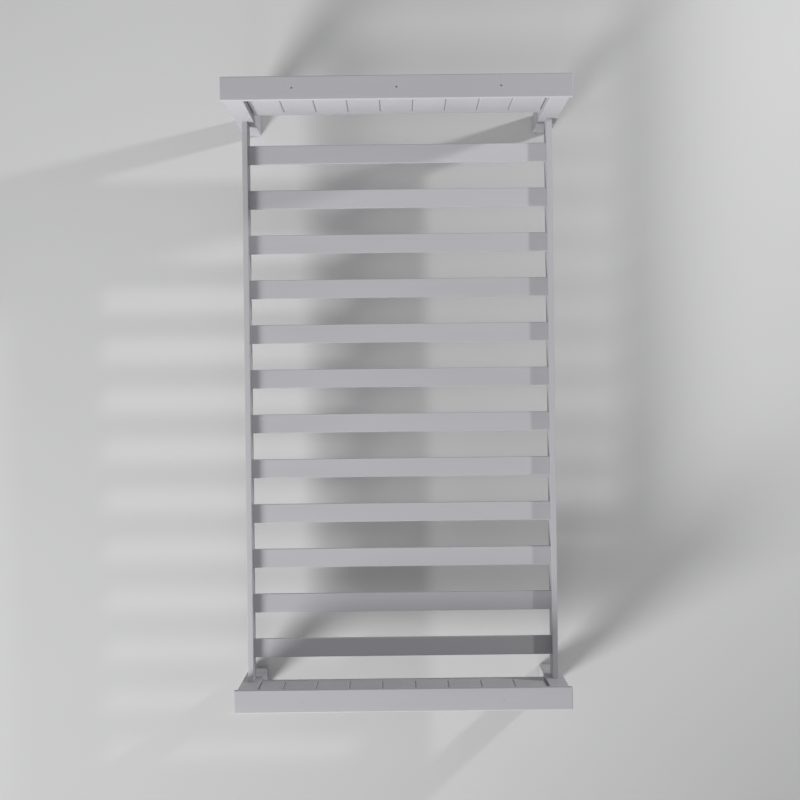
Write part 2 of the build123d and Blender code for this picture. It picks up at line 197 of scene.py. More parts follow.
def math_node(tree, operation, first, second, clamp=False):
    """A math node.  Each operand is a number or another node's output."""
    node = tree.nodes.new("ShaderNodeMath")
    node.operation = operation
    node.use_clamp = clamp
    for place, operand in enumerate((first, second)):
        if isinstance(operand, (int, float)):
            node.inputs[place].default_value = operand
        else:
            tree.links.new(operand, node.inputs[place])
    return node.outputs[0]


def spread(tree, source, low, high, new_low, new_high):
    """A Map Range node's output: source from low..high to new_low..new_high, kept inside."""
    values = {"From Min": low, "From Max": high, "To Min": new_low, "To Max": new_high}
    return add(tree, "ShaderNodeMapRange", values, {"Value": source}).outputs["Result"]


def vary(tree, noise, new_low, new_high):
    """A noise, spread over new_low..new_high."""
    return spread(tree, noise, NOISE_LOW, NOISE_HIGH, new_low, new_high)


def stretched_noise(tree, vector, scale, detail, roughness=0.5):
    """Noise that is drawn out along the board: scale is features per metre along X, Y and Z."""
    stretch = add(tree, "ShaderNodeMapping", {"Scale": scale}, {"Vector": vector})
    values = {"Scale": 1.0, "Detail": detail, "Roughness": roughness}
    noise = add(tree, "ShaderNodeTexNoise", values, {"Vector": stretch.outputs["Vector"]})
    return noise.outputs["Fac"]


# %% [markdown]
# ### Brushed paint over grain
#
# Four noises make the film.  The grain of the wood and the streaks of the brush are drawn
# out along the board.  The stipple is alike in all directions, and the drift is as slow as
# a painter's stroke.  A painted image could do this too, but noise has no seams, and each
# board can have its own part of it.


# %% Brushed paint over grain
GRAIN_SCALE = (1.6, 55.0, 55.0)
STREAK_SCALE = (9.0, 420.0, 420.0)
STIPPLE_SCALE = (650.0, 650.0, 650.0)
DRIFT_SCALE = (1.8, 7.0, 7.0)
STIPPLE_HEIGHT = 0.18


def brushed_paint_group():
    """Height of the film, its tone around 1, and how rough it is around 0."""
    inputs = [
        ("Vector", "NodeSocketVector", None),
        ("Grain", "NodeSocketFloat", 0.5),
        ("Streaks", "NodeSocketFloat", 0.5),
    ]
    outputs = [
        ("Height", "NodeSocketFloat"),
        ("Tone", "NodeSocketFloat"),
        ("Dullness", "NodeSocketFloat"),
    ]
    tree, start, end = new_group("Brushed Paint", inputs, outputs)
    vector = start.outputs["Vector"]
    grain = stretched_noise(tree, vector, GRAIN_SCALE, 6.0, 0.62)
    streaks = stretched_noise(tree, vector, STREAK_SCALE, 3.0)
    stipple = stretched_noise(tree, vector, STIPPLE_SCALE, 2.0)
    drift = stretched_noise(tree, vector, DRIFT_SCALE, 2.0)

    grain_height = math_node(tree, "MULTIPLY", grain, start.outputs["Grain"])
    streak_height = math_node(tree, "MULTIPLY", streaks, start.outputs["Streaks"])
    stipple_height = math_node(tree, "MULTIPLY", stipple, STIPPLE_HEIGHT)
    height = math_node(tree, "ADD", grain_height, streak_height)
    height = math_node(tree, "ADD", height, stipple_height)

    grain_tone = vary(tree, grain, 0.988, 1.012)
    drift_tone = vary(tree, drift, 0.975, 1.02)
    tone = math_node(tree, "MULTIPLY", grain_tone, drift_tone)
    dullness = vary(tree, streaks, -0.05, 0.05)

    tree.links.new(height, end.inputs["Height"])
    tree.links.new(tone, end.inputs["Tone"])
    tree.links.new(dullness, end.inputs["Dullness"])
    return tree


brushed_paint = brushed_paint_group()
print(brushed_paint.name, "has", len(brushed_paint.nodes), "nodes")

# %% [markdown]
# ### Rubbed edges
#
# Paint wears first on the outer edges, where hands and sheets rub it.  A Bevel node gives
# the normal that a well rounded edge would have, so an edge is where that normal and the
# real one differ.  The wear could be painted by hand, but this follows every board by
# itself.  A noise breaks the line up.


# %% Rubbed edges
LIKE_A_FACE = 0.999
LIKE_AN_EDGE = 0.86
PATCH_SCALE = (14.0, 40.0, 40.0)


def rubbed_edges_group():
    """A mask that is 1 where an outer edge has been rubbed, broken up by noise."""
    inputs = [
        ("Vector", "NodeSocketVector", None),
        ("Width", "NodeSocketFloat", 0.003),
        ("Amount", "NodeSocketFloat", 0.5),
    ]
    tree, start, end = new_group("Rubbed Edges", inputs, [("Mask", "NodeSocketFloat")])
    rounded = add(tree, "ShaderNodeBevel", links={"Radius": start.outputs["Width"]}, samples=4)
    surface = add(tree, "ShaderNodeNewGeometry")
    likeness = add(tree, "ShaderNodeVectorMath", operation="DOT_PRODUCT")
    tree.links.new(rounded.outputs["Normal"], likeness.inputs[0])
    tree.links.new(surface.outputs["Normal"], likeness.inputs[1])
    edge = spread(tree, likeness.outputs["Value"], LIKE_A_FACE, LIKE_AN_EDGE, 0.0, 1.0)
    patches = stretched_noise(tree, start.outputs["Vector"], PATCH_SCALE, 4.0, 0.65)
    patches = spread(tree, patches, 0.42, 0.68, 0.0, 1.0)
    mask = math_node(tree, "MULTIPLY", edge, patches)
    mask = math_node(tree, "MULTIPLY", mask, start.outputs["Amount"], clamp=True)
    tree.links.new(mask, end.inputs["Mask"])
    return tree


rubbed_edges = rubbed_edges_group()
print(rubbed_edges.name, "has", len(rubbed_edges.nodes), "nodes")

# %% [markdown]
# ### Painted shade and dust in corners
#
# Painted shade darkens the joints and the grooves between planks, where less light gets in,
# and dust, which a cloth doesn't reach there, adds to it.  An Ambient Occlusion node tells
# how closed in a point is, and a coarse noise makes the shade gritty like dust.


# %% Painted shade and dust in corners
OPEN_FACE = 0.75
CLOSED_CORNER = 0.25
GRIT_SCALE = (60.0, 60.0, 60.0)


def corner_shade_and_dust_group():
    """A mask of painted shade and dust: 1 deep in a joint or a corner, and 0 on open faces."""
    inputs = [("Vector", "NodeSocketVector", None), ("Reach", "NodeSocketFloat", 0.006)]
    tree, start, end = new_group("Corner Shade And Dust", inputs, [("Mask", "NodeSocketFloat")])
    openness = add(tree, "ShaderNodeAmbientOcclusion", samples=4)
    tree.links.new(start.outputs["Reach"], openness.inputs["Distance"])
    # Painted shade: the mask grows where the AO node finds the point closed in.
    closed = spread(tree, openness.outputs["AO"], OPEN_FACE, CLOSED_CORNER, 0.0, 1.0)
    grit = stretched_noise(tree, start.outputs["Vector"], GRIT_SCALE, 3.0)
    grit = vary(tree, grit, 0.6, 1.0)
    mask = math_node(tree, "MULTIPLY", closed, grit, clamp=True)
    tree.links.new(mask, end.inputs["Mask"])
    return tree


corner_shade_and_dust = corner_shade_and_dust_group()
print(corner_shade_and_dust.name, "has", len(corner_shade_and_dust.nodes), "nodes")

# %% [markdown]
# ## The paint itself
#
# Matt white paint on a single bed is a soft, slightly cool grey white.  Every board gets
# its own copy of the material.  The copy turns the pattern so that the grain runs along
# that board, shifts it so that no two boards show the same figure, and makes the board a
# shade lighter or darker than its neighbour.  On the slats and the caps this tone is painted
# light and shade: the slats by the footboard are darkened as if in its shadow.  One shared
# material would be less work, but then all the boards would look as if they were sawn from
# one plank.

# %% Direction and start of the grain
GRAIN_TURN = {
    "X": (0.0, 0.0, 0.0),
    "Y": (0.0, 0.0, -math.pi / 2),
    "Z": (0.0, math.pi / 2, 0.0),
}
PATTERN_STEP = (0.37, 1.13, 0.71)


def board_vector(tree, axis, number):
    """Coordinates in metres with the board's length along X, started at its own place."""
    place = add(tree, "ShaderNodeTexCoord")
    shift = tuple(step * number for step in PATTERN_STEP)
    values = {"Location": shift, "Rotation": GRAIN_TURN[axis]}
    turned = add(tree, "ShaderNodeMapping", values, {"Vector": place.outputs["Object"]})
    return turned.outputs["Vector"]


# %% [markdown]
# ### Wiring a material
#
# Every material below is one Principled shader with patterns wired into its colour, its
# roughness and its normal.  These helpers do the wiring that all of them share.


# %% Helpers for wiring a material
def group_node(tree, group, values, vector):
    """One use of a node group, with its own values."""
    node = tree.nodes.new("ShaderNodeGroup")
    node.node_tree = group
    for label, value in values.items():
        node.inputs[label].default_value = value
    tree.links.new(vector, node.inputs["Vector"])
    return node


def blend_colour(tree, mask, under, over):
    """Mixes two colours by a mask.  Each is a colour or another node's output."""
    node = tree.nodes.new("ShaderNodeMix")
    node.data_type = "RGBA"
    tree.links.new(mask, node.inputs["Factor"])
    for label, colour in (("A", under), ("B", over)):
        socket = [s for s in node.inputs if s.name == label and s.type == "RGBA"][0]
        if isinstance(colour, tuple):
            socket.default_value = (*colour, 1.0)
        else:
            tree.links.new(colour, socket)
    return [s for s in node.outputs if s.type == "RGBA"][0]


def empty_material(name):
    """A material with only its Principled shader, and that shader."""
    material = bpy.data.materials.new(name)
    material.use_nodes = True
    return material, material.node_tree, material.node_tree.nodes["Principled BSDF"]


def toned(tree, colour, tone):
    """A colour multiplied by a tone from a node."""
    node = tree.nodes.new("ShaderNodeVectorMath")
    node.operation = "SCALE"
    node.inputs[0].default_value = colour
    tree.links.new(tone, node.inputs["Scale"])
    return node.outputs[0]


def surface_bump(tree, shader, height, strength, distance):
    """Wires a height into the shader's normal."""
    values = {"Strength": strength, "Distance": distance}
    bump = add(tree, "ShaderNodeBump", values, {"Height": height})
    tree.links.new(bump.outputs["Normal"], shader.inputs["Normal"])


# %% [markdown]
# ### A painted board
#
# The layers go on as they do on a real bed: paint, then wear on the edges, then painted
# shade and dust in the corners.  The film is slightly raised over the grain and the streaks,
# which a Bump node shows without any extra faces.

# %% Painted board material
PAINT_COLOUR = (0.457, 0.452, 0.474)
RUBBED_COLOUR = (0.40, 0.385, 0.36)
# Near-black colour of the painted shade, with some dust, in joints and grooves.
SHADE_AND_DUST_COLOUR = (0.20, 0.19, 0.18)
PAINT_ROUGHNESS = 0.62
PAINT_SHINE = 0.3
FILM_THICKNESS = 0.5 * MM
WEAR_WIDTH = 2.5 * MM
# How far from a corner the painted shade and dust reach.
SHADE_AND_DUST_REACH = 7.0 * MM


def painted_board(name, axis, number, tone_and_painted_light=1.0, shade_and_dust_amount=0.6):
    """Matt paint along one axis, a tone that can hold painted light, and corners darkened by
    painted shade and dust.
    """
    material, tree, shader = empty_material(name)
    vector = board_vector(tree, axis, number)
    film = group_node(tree, brushed_paint, {"Grain": 0.5, "Streaks": 0.35}, vector)
    rub = group_node(tree, rubbed_edges, {"Width": WEAR_WIDTH, "Amount": 0.55}, vector)
    shade_and_dust = group_node(tree, corner_shade_and_dust, {"Reach": SHADE_AND_DUST_REACH}, vector)
    # The tone factor is painted light and shade on the slats and the caps, and a random tone on
    # the planks.
    base = tuple(tone_and_painted_light * channel for channel in PAINT_COLOUR)
    colour = toned(tree, base, film.outputs["Tone"])
    colour = blend_colour(tree, rub.outputs["Mask"], colour, RUBBED_COLOUR)
    # Painted shade and dust darken the corners and the grooves.
    shade_and_dust_mask = math_node(tree, "MULTIPLY", shade_and_dust.outputs["Mask"], shade_and_dust_amount, clamp=True)
    colour = blend_colour(tree, shade_and_dust_mask, colour, SHADE_AND_DUST_COLOUR)
    tree.links.new(colour, shader.inputs["Base Color"])
    roughness = math_node(tree, "ADD", film.outputs["Dullness"], PAINT_ROUGHNESS)
    tree.links.new(roughness, shader.inputs["Roughness"])
    shader.inputs["Specular IOR Level"].default_value = PAINT_SHINE
    surface_bump(tree, shader, film.outputs["Height"], 0.35, FILM_THICKNESS)
    return material


# %% [markdown]
# ## Steel, beech and moulded plastic
#
# The bolts, washers, nuts, screws and nails are bright zinc plated steel: a cool metal
# with a cloudy bloom and fine scratches.  The bloom changes both the tone and the gloss,
# so it shows in the reflections, where a change of colour alone would not.


# %% Zinc plated steel
ZINC_COLOUR = (0.60, 0.61, 0.63)
BLOOM_SCALE = (320.0, 320.0, 320.0)
SCRATCH_SCALE = (2600.0, 300.0, 2600.0)


def zinc_steel(name):
    """Bright zinc plating, cloudy and finely scratched."""
    material, tree, shader = empty_material(name)
    place = add(tree, "ShaderNodeTexCoord").outputs["Object"]
    bloom = stretched_noise(tree, place, BLOOM_SCALE, 4.0, 0.6)
    scratches = stretched_noise(tree, place, SCRATCH_SCALE, 2.0)
    tone = vary(tree, bloom, 0.82, 1.08)
    tree.links.new(toned(tree, ZINC_COLOUR, tone), shader.inputs["Base Color"])
    tree.links.new(vary(tree, bloom, 0.26, 0.48), shader.inputs["Roughness"])
    shader.inputs["Metallic"].default_value = 1.0
    surface_bump(tree, shader, scratches, 0.25, 0.05 * MM)
    return material


steel = zinc_steel("zinc_steel")
print(steel.name, "has", len(steel.node_tree.nodes), "nodes")

# %% [markdown]
# ### Moulded plastic
#
# The discs under the legs are off-white polythene, a little glossier than the paint.  The
# mould was spark eroded, which leaves a texture much finer than any brush mark.


# %% Moulded plastic
PLASTIC_COLOUR = (0.70, 0.69, 0.66)
MOULD_SCALE = (1800.0, 1800.0, 1800.0)
CLOUD_SCALE = (60.0, 60.0, 60.0)


def moulded_plastic(name):
    """Off-white polythene with a fine spark-eroded texture."""
    material, tree, shader = empty_material(name)
    place = add(tree, "ShaderNodeTexCoord").outputs["Object"]
    texture = stretched_noise(tree, place, MOULD_SCALE, 2.0)
    cloud = stretched_noise(tree, place, CLOUD_SCALE, 2.0)
    tone = vary(tree, cloud, 0.95, 1.03)
    tree.links.new(toned(tree, PLASTIC_COLOUR, tone), shader.inputs["Base Color"])
    tree.links.new(vary(tree, texture, 0.38, 0.5), shader.inputs["Roughness"])
    surface_bump(tree, shader, texture, 0.2, 0.08 * MM)
    return material


plastic = moulded_plastic("glide_plastic")
print(plastic.name, "has", len(plastic.node_tree.nodes), "nodes")

# %% [markdown]
# ### Bare beech
#
# The dowels are bare beech, which is known by its short dark flecks.  The grain and the
# flecks are two noises along the dowel, and the flecks are cut off sharply so that they
# stay small and separate.


# %% Bare beech
BEECH_DARK = (0.50, 0.32, 0.18)
BEECH_PALE = (0.66, 0.47, 0.29)
BEECH_FLECK = (0.30, 0.17, 0.09)
BEECH_GRAIN_SCALE = (14.0, 420.0, 420.0)
FLECK_SCALE = (260.0, 1500.0, 1500.0)


def bare_beech(name, axis):
    """Pale beech with short flecks along the grain."""
    material, tree, shader = empty_material(name)
    vector = board_vector(tree, axis, 1)
    grain = stretched_noise(tree, vector, BEECH_GRAIN_SCALE, 5.0, 0.6)
    flecks = stretched_noise(tree, vector, FLECK_SCALE, 1.0)
    grain_mask = vary(tree, grain, 0.0, 1.0)
    wood = blend_colour(tree, grain_mask, BEECH_DARK, BEECH_PALE)
    fleck_mask = spread(tree, flecks, 0.62, 0.72, 0.0, 0.7)
    wood = blend_colour(tree, fleck_mask, wood, BEECH_FLECK)
    tree.links.new(wood, shader.inputs["Base Color"])
    tree.links.new(vary(tree, grain, 0.55, 0.7), shader.inputs["Roughness"])
    surface_bump(tree, shader, grain, 0.3, 0.2 * MM)
    return material


beech_upright = bare_beech("beech_upright", "Z")
beech_lengthways = bare_beech("beech_lengthways", "Y")
print(beech_upright.name, "has", len(beech_upright.node_tree.nodes), "nodes")
print(beech_lengthways.name, "has", len(beech_lengthways.node_tree.nodes), "nodes")

# %% [markdown]
# ## Shaping with edit-mode operators
#
# Each new piece starts as a primitive at its size and place, and its place is then put
# into its mesh, so that it sits at the origin as the measured ones do.  Working from the
# measured boxes keeps every joint where it belongs.


# %% Starting a piece
def select_only(*pieces):
    """Selects these pieces and nothing else, the first one active."""
    bpy.ops.object.select_all(action="DESELECT")
    for piece in pieces:
        piece.select_set(True)
    bpy.context.view_layer.objects.active = pieces[0]


def settle(piece, name):
    """Names a new primitive, and puts its place, turn and scale into its mesh."""
    bpy.ops.object.transform_apply(location=True, rotation=True, scale=True)
    piece.name = name
    piece.data.name = name
    return piece


def start_block(name, low, high):
    """A block between two corners."""
    bpy.ops.object.select_all(action="DESELECT")
    middle = [(a + b) / 2 for a, b in zip(low, high)]
    size = [b - a for a, b in zip(low, high)]
    bpy.ops.mesh.primitive_cube_add(size=1.0, location=middle, scale=size)
    return settle(bpy.context.active_object, name)


# %% [markdown]
# ### Choosing edges and rounding them
#
# By hand one would click on the edges.  Here a test looks at the two ends of each edge and
# says whether it is meant, so a helper such as runs_along("X") stands for all the edges
# along X.  A bevel with a few segments then rounds what is chosen.


# %% Choosing and rounding edges
CLOSE = 0.001 * MM


def pick_edges(piece, test):
    """Enters edit mode with only the edges selected whose two ends pass a test."""
    select_only(piece)
    bpy.ops.object.mode_set(mode="EDIT")
    bpy.ops.mesh.select_mode(type="EDGE")
    bpy.ops.mesh.select_all(action="DESELECT")
    cage = bmesh.from_edit_mesh(piece.data)
    for edge in cage.edges:
        edge.select_set(test(edge.verts[0].co, edge.verts[1].co))
    bmesh.update_edit_mesh(piece.data)


def leave_edit():
    """Back to object mode."""
    bpy.ops.object.mode_set(mode="OBJECT")


def round_edges(piece, test, radius, segments=3):
    """Rounds the chosen edges."""
    pick_edges(piece, test)
    bpy.ops.mesh.bevel(offset=radius, offset_type="OFFSET", segments=segments, affect="EDGES")
    leave_edit()


def runs_along(axis):
    """A test for edges that run along X, Y or Z."""
    place = "XYZ".index(axis)
    others = [i for i in range(3) if i != place]
    return lambda a, b: all(abs(a[i] - b[i]) < CLOSE for i in others)


# %% [markdown]
# ### Finishing a piece
#
# Cutting and bevelling can leave doubled corners and faces that look the wrong way, so
# they are merged and turned first.  Smoothing by angle then hides the facets of the
# rounded edges.  Weighted normals keep the large flat faces flat, and leave the bending of
# the light to the narrow faces along the edges.  Last, the piece takes the place of its
# measured node.


# %% Finishing a piece
SMOOTH_ANGLE = math.radians(35)


def finish_piece(piece, material, slot, *nodes):
    """Smooths a piece by angle, paints it, and lets it stand for its measured nodes."""
    select_only(piece)
    bpy.ops.object.mode_set(mode="EDIT")
    bpy.ops.mesh.select_all(action="SELECT")
    bpy.ops.mesh.remove_doubles(threshold=CLOSE)
    bpy.ops.mesh.normals_make_consistent(inside=False)
    leave_edit()
    bpy.ops.object.shade_smooth_by_angle(angle=SMOOTH_ANGLE)
    flatten = piece.modifiers.new("flat_faces_stay_flat", "WEIGHTED_NORMAL")
    flatten.keep_sharp = True
    bpy.ops.object.modifier_apply(modifier=flatten.name)
    piece.data.materials.clear()
    piece.data.materials.append(material)
    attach(piece, "root")
    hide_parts(*nodes)
    print(f"{piece.name}: {len(piece.data.polygons)} faces, {material.name}")


# %% [markdown]
# ## Slats
#
# A slat is a planed board, 63.5 by 18 mm, with its long edges eased by a plane or a
# sander so that they don't cut into the mattress.  Rounding the four long edges with
# three segments is all that the shape needs.  Real slats sag a little under their own
# weight, each by its own amount, so the middle of each one lies up to a third of a
# millimetre low.

# %% Slats
SLAT_ROUNDING = 2.2 * MM
# Painted light and shade: slat 1 by the headboard is lightened, and slats 11 and 12 are
# darkened as if in the footboard's shadow.
SLAT_PAINTED_LIGHT_AND_SHADE = (1.11, 1.05, 1.02, 1.0, 1.01, 0.99, 1.0, 1.01, 1.0, 0.98, 0.93, 0.92)
SLAT_CUTS = 12
SLAT_SAG = 0.35 * MM
slat_names = sorted(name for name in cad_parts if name.startswith("slat_"))


def make_slat(name, number):
    """A slat with eased edges and a trace of sag."""
    low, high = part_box(name)
    slat = start_block(name + "_board", low, high)
    pick_edges(slat, runs_along("X"))
    bpy.ops.mesh.subdivide(number_cuts=SLAT_CUTS)
    leave_edit()
    round_edges(slat, runs_along("X"), SLAT_ROUNDING)
    sag = SLAT_SAG * abs(math.sin(2.4 * number))
    half = high.x
    for corner in slat.data.vertices:
        corner.co.z -= sag * (1.0 - (corner.co.x / half) ** 2)
    return slat


for number, name in enumerate(slat_names, start=1):
    tone_and_painted_light = SLAT_PAINTED_LIGHT_AND_SHADE[number - 1]
    paint = painted_board(name + "_paint", "X", number, tone_and_painted_light)
    finish_piece(make_slat(name, number), paint, "slat_paint", name)

# %% [markdown]
# ## Where the fixings are
#
# The places of the bolts and screws come from the boxes of the measured hardware: the
# washers' box reaches one washer radius past the outer bolts, and the screws' box one
# head radius past the outer screws.  Written down a second time, the places could drift
# apart from the holes.

# %% Places of the fixings
WASHER_RADIUS = 9.0 * MM
SCREW_HEAD_RADIUS = 3.0 * MM


def middle_of(name):
    """Middle of a measured node's box."""
    low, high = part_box(name)
    return (low + high) / 2


def bolt_places(end):
    """The four bolts of one end, as x and z."""
    low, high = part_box(end + "_bolt_washers")
    reach = high.x - WASHER_RADIUS
    levels = (low.z + WASHER_RADIUS, high.z - WASHER_RADIUS)
    return [(x, z) for x in (-reach, reach) for z in levels]


def screw_places(end):
    """The three screws of a cap, as x and y."""
    low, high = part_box(end + "_cap_screws")
    reach = high.x - SCREW_HEAD_RADIUS
    return [(x, (low.y + high.y) / 2) for x in (-reach, 0.0, reach)]


for end in ENDS:
    print(end, len(bolt_places(end)), "bolts and", len(screw_places(end)), "cap screws")

# %% [markdown]
# ### Drilling and milling
#
# A hole is made as a drill makes it: a rod is placed where the hole goes, and an exact
# boolean takes it out of the board.  A mortise is a block taken out in the same way.  The
# cutter always sticks out of the surface, because two faces in one plane confuse a
# boolean.


# %% Drilling and milling
PIN_ROOM = 0.1 * MM
END_ROOM = 0.5 * MM
OVERRUN = 5.0 * MM


def start_rod(name, middle, radius, length, axis="Z", sides=48):
    """A round rod about a point, along one axis."""
    turns = {"X": (0.0, math.pi / 2, 0.0), "Y": (math.pi / 2, 0.0, 0.0), "Z": (0.0, 0.0, 0.0)}
    bpy.ops.object.select_all(action="DESELECT")
    bpy.ops.mesh.primitive_cylinder_add(
        vertices=sides, radius=radius, depth=length, location=middle, rotation=turns[axis]
    )
    return settle(bpy.context.active_object, name)


def cut_away(piece, cutter):
    """Takes one closed shape out of another, and throws the cutter away."""
    select_only(piece)
    modifier = piece.modifiers.new("cut", "BOOLEAN")
    modifier.operation = "DIFFERENCE"
    modifier.solver = "EXACT"
    modifier.object = cutter
    bpy.ops.object.modifier_apply(modifier=modifier.name)
    bpy.data.objects.remove(cutter)


def drill(piece, place, radius, length, axis="Z", sides=32):
    """Bores a round hole that reaches half its length to both sides of a place."""
    cut_away(piece, start_rod("cut", place, radius, length, axis, sides))


def mill(piece, corner, far_corner):
    """Cuts out the block between two corners."""
    cut_away(piece, start_block("cut", corner, far_corner))


# %% [markdown]
# ### Which edges belong to a rim
#
# The rim of a hole lies at one level, and all of it is within the hole's radius of its
# middle.  That is enough to find it on a board with many holes.


# %% Tests for all edges and for round rims
def every_edge(a, b):
    """A test that every edge passes."""
    return True


def rim(axis, level, around, radius):
    """A test for the edges of a round hole or end, at one level along an axis."""
    place = "XYZ".index(axis)

    def near(corner):
        away = [abs(corner[i] - around[i]) for i in range(3) if i != place]
        return abs(corner[place] - level) < CLOSE and math.hypot(*away) < radius * 1.02

    return lambda a, b: near(a) and near(b)


# %% [markdown]
# ## Caps
#
# A cap is one board, 24 mm thick, that lies across both posts and overhangs them by
# 6 mm.  A router with a small rounding bit runs round all of its edges, so one bevel of
# every edge makes it.  Three stepped holes let the screw heads sink below the surface,
# and the paint softens their rims.

# %% Caps
CAP_ROUNDING = 3.0 * MM
SCREW_RADIUS = 2.0 * MM
SCREW_HEAD_HEIGHT = 3.5 * MM
DOWEL_RADIUS = 5.0 * MM
HOLE_RIM = 0.35 * MM
# Painted light and shade: the headboard's cap is made lighter and the footboard's darker.
CAP_PAINTED_LIGHT_AND_SHADE = {"headboard": 1.03, "footboard": 0.93}
CAP_PATTERN = 20
THROUGH_CAP = 60.0 * MM


def make_cap(end):
    """A rounded board with stepped screw holes and blind dowel holes."""
    low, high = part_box(end + "_cap")
    cap = start_block(end + "_cap_board", low, high)
    round_edges(cap, every_edge, CAP_ROUNDING, 4)
    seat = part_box(end + "_cap_screws")[1].z - SCREW_HEAD_HEIGHT
    head_hole = SCREW_HEAD_RADIUS + PIN_ROOM
    for x, y in screw_places(end):
        place = (x, y, high.z)
        drill(cap, place, SCREW_RADIUS + PIN_ROOM, THROUGH_CAP)
        drill(cap, place, head_hole, 2.0 * (high.z - seat), sides=48)
        round_edges(cap, rim("Z", high.z, place, head_hole), HOLE_RIM, 2)
    dowel_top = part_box(end + "_cap_dowels")[1].z + END_ROOM
    for side in SIDES:
        post = middle_of(f"{end}_{side}_post")
        depth = 2.0 * (dowel_top - low.z)
        drill(cap, (post.x, post.y, low.z), DOWEL_RADIUS + PIN_ROOM, depth, sides=48)
    return cap


for number, end in enumerate(ENDS, start=1):
    paint = painted_board(end + "_cap_paint", "X", CAP_PATTERN + number, CAP_PAINTED_LIGHT_AND_SHADE[end])
    finish_piece(make_cap(end), paint, "frame_paint", end + "_cap")

# %% [markdown]
# ### Choosing faces, slicing and extruding
#
# Faces are chosen by their middle and by the way they look.  A slice cuts new edges
# through the whole piece, as a loop cut would do by hand, and marks the strip that an
# extrusion then pulls out.


# %% Choosing faces, slicing and extruding
def pick_faces(piece, test):
    """Enters edit mode with only the faces selected whose middle and normal pass a test."""
    select_only(piece)
    bpy.ops.object.mode_set(mode="EDIT")
    bpy.ops.mesh.select_mode(type="FACE")
    bpy.ops.mesh.select_all(action="DESELECT")
    cage = bmesh.from_edit_mesh(piece.data)
    for face in cage.faces:
        face.select_set(test(face.calc_center_median(), face.normal))
    bmesh.update_edit_mesh(piece.data)


def slice_at(piece, place, normal):
    """Cuts new edges through the whole of a piece along a plane."""
    select_only(piece)
    bpy.ops.object.mode_set(mode="EDIT")
    bpy.ops.mesh.select_all(action="SELECT")
    bpy.ops.mesh.bisect(plane_co=place, plane_no=normal)
    leave_edit()


def extrude_faces(piece, test, shift):
    """Extrudes the chosen faces by a shift."""
    pick_faces(piece, test)
    bpy.ops.mesh.extrude_region_move(TRANSFORM_OT_translate={"value": shift})
    leave_edit()


def looks(axis, sign):
    """A test for flat faces that look along an axis, in the direction of sign."""
    place = "XYZ".index(axis)
    return lambda middle, normal: normal[place] * sign > 0.99


# %% [markdown]
# ### Tongues
#
# Tongues, and the tenons of the rails further down, are strips of one thickness that
# stand out from an edge.  Both are made by the same two helpers.

# %% Tongues and tenons
TONGUE_DEPTH = 8.0 * MM
HALF_TONGUE = 3.5 * MM
GROOVE_ROOM = 0.25 * MM
HALF_GROOVE = HALF_TONGUE + GROOVE_ROOM
print("tongue", 2 * HALF_TONGUE / MM, "mm thick, groove", 2 * HALF_GROOVE / MM, "mm wide")


def mark_strip(piece, middle_y):
    """Two slices along a piece, one tongue's thickness apart."""
    slice_at(piece, (0.0, middle_y - HALF_TONGUE, 0.0), (0.0, 1.0, 0.0))
    slice_at(piece, (0.0, middle_y + HALF_TONGUE, 0.0), (0.0, 1.0, 0.0))


def extrude_strip(piece, axis, sign, middle_y):
    """Pulls the marked strip out of the faces that look along an axis."""
    shift = [0.0, 0.0, 0.0]
    shift["XYZ".index(axis)] = sign * TONGUE_DEPTH
    faces = looks(axis, sign)
    extrude_faces(piece, lambda m, n: faces(m, n) and abs(m.y - middle_y) < HALF_TONGUE, shift)


# %% [markdown]
# ## Planks
#
# Tongue and groove matching is run through a moulder: a chamfer on each arris makes a V
# where two boards meet, and a tongue on one edge fills the groove of its neighbour.  The
# board starts as a block.  Two slices mark the tongue's strip on its ends and edges, the
# strips are extruded into tongues, and the groove is cut out last.  A panel of one piece
# with lines pressed into it would look alike from afar, but its V grooves would be closed
# at the ends and no plank could have a tone of its own.

# %% Planks
V_WIDTH = 3.5 * MM
ARRIS = 0.5 * MM
PLANKS_PER_END = 9
# Painted shade, with some dust, made deeper in the V grooves between planks.
PLANK_SHADE_AND_DUST = 1.8
PLANK_PATTERN = 30


def arrises(low, high):
    """A test for the upright edges that lie on the front or the back of a board."""
    upright = runs_along("Z")
    return lambda a, b: upright(a, b) and (a.y < low.y + CLOSE or a.y > high.y - CLOSE)


def make_plank(end, number):
    """A matched board with chamfered arrises, tongues and a groove."""
    name = f"{end}_plank_{number}"
    low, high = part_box(name)
    first = number == 1
    left = low.x + (TONGUE_DEPTH if first else 0.0)
    right = high.x - TONGUE_DEPTH
    bottom, top = low.z + TONGUE_DEPTH, high.z - TONGUE_DEPTH
    plank = start_block(name + "_board", (left, low.y, bottom), (right, high.y, top))
    round_edges(plank, runs_along("Z"), V_WIDTH, 1)
    round_edges(plank, arrises(low, high), ARRIS, 2)
    middle_y = (low.y + high.y) / 2
    mark_strip(plank, middle_y)
    extrude_strip(plank, "Z", 1, middle_y)
    extrude_strip(plank, "Z", -1, middle_y)
    extrude_strip(plank, "X", 1, middle_y)
    if first:
        extrude_strip(plank, "X", -1, middle_y)
    else:
        groove_end = left + TONGUE_DEPTH + END_ROOM
        corner = (left - OVERRUN, middle_y - HALF_GROOVE, low.z - OVERRUN)
        mill(plank, corner, (groove_end, middle_y + HALF_GROOVE, high.z + OVERRUN))
    return plank


for offset, end in enumerate(ENDS):
    for number in range(1, PLANKS_PER_END + 1):
        seed = PLANK_PATTERN + 10 * offset + number
        tone_and_painted_light = 1.0 + 0.010 * math.sin(3.7 * seed)
        paint = painted_board(f"{end}_plank_{number}_paint", "Z", seed, tone_and_painted_light, PLANK_SHADE_AND_DUST)
        finish_piece(make_plank(end, number), paint, "plank_paint", f"{end}_plank_{number}")

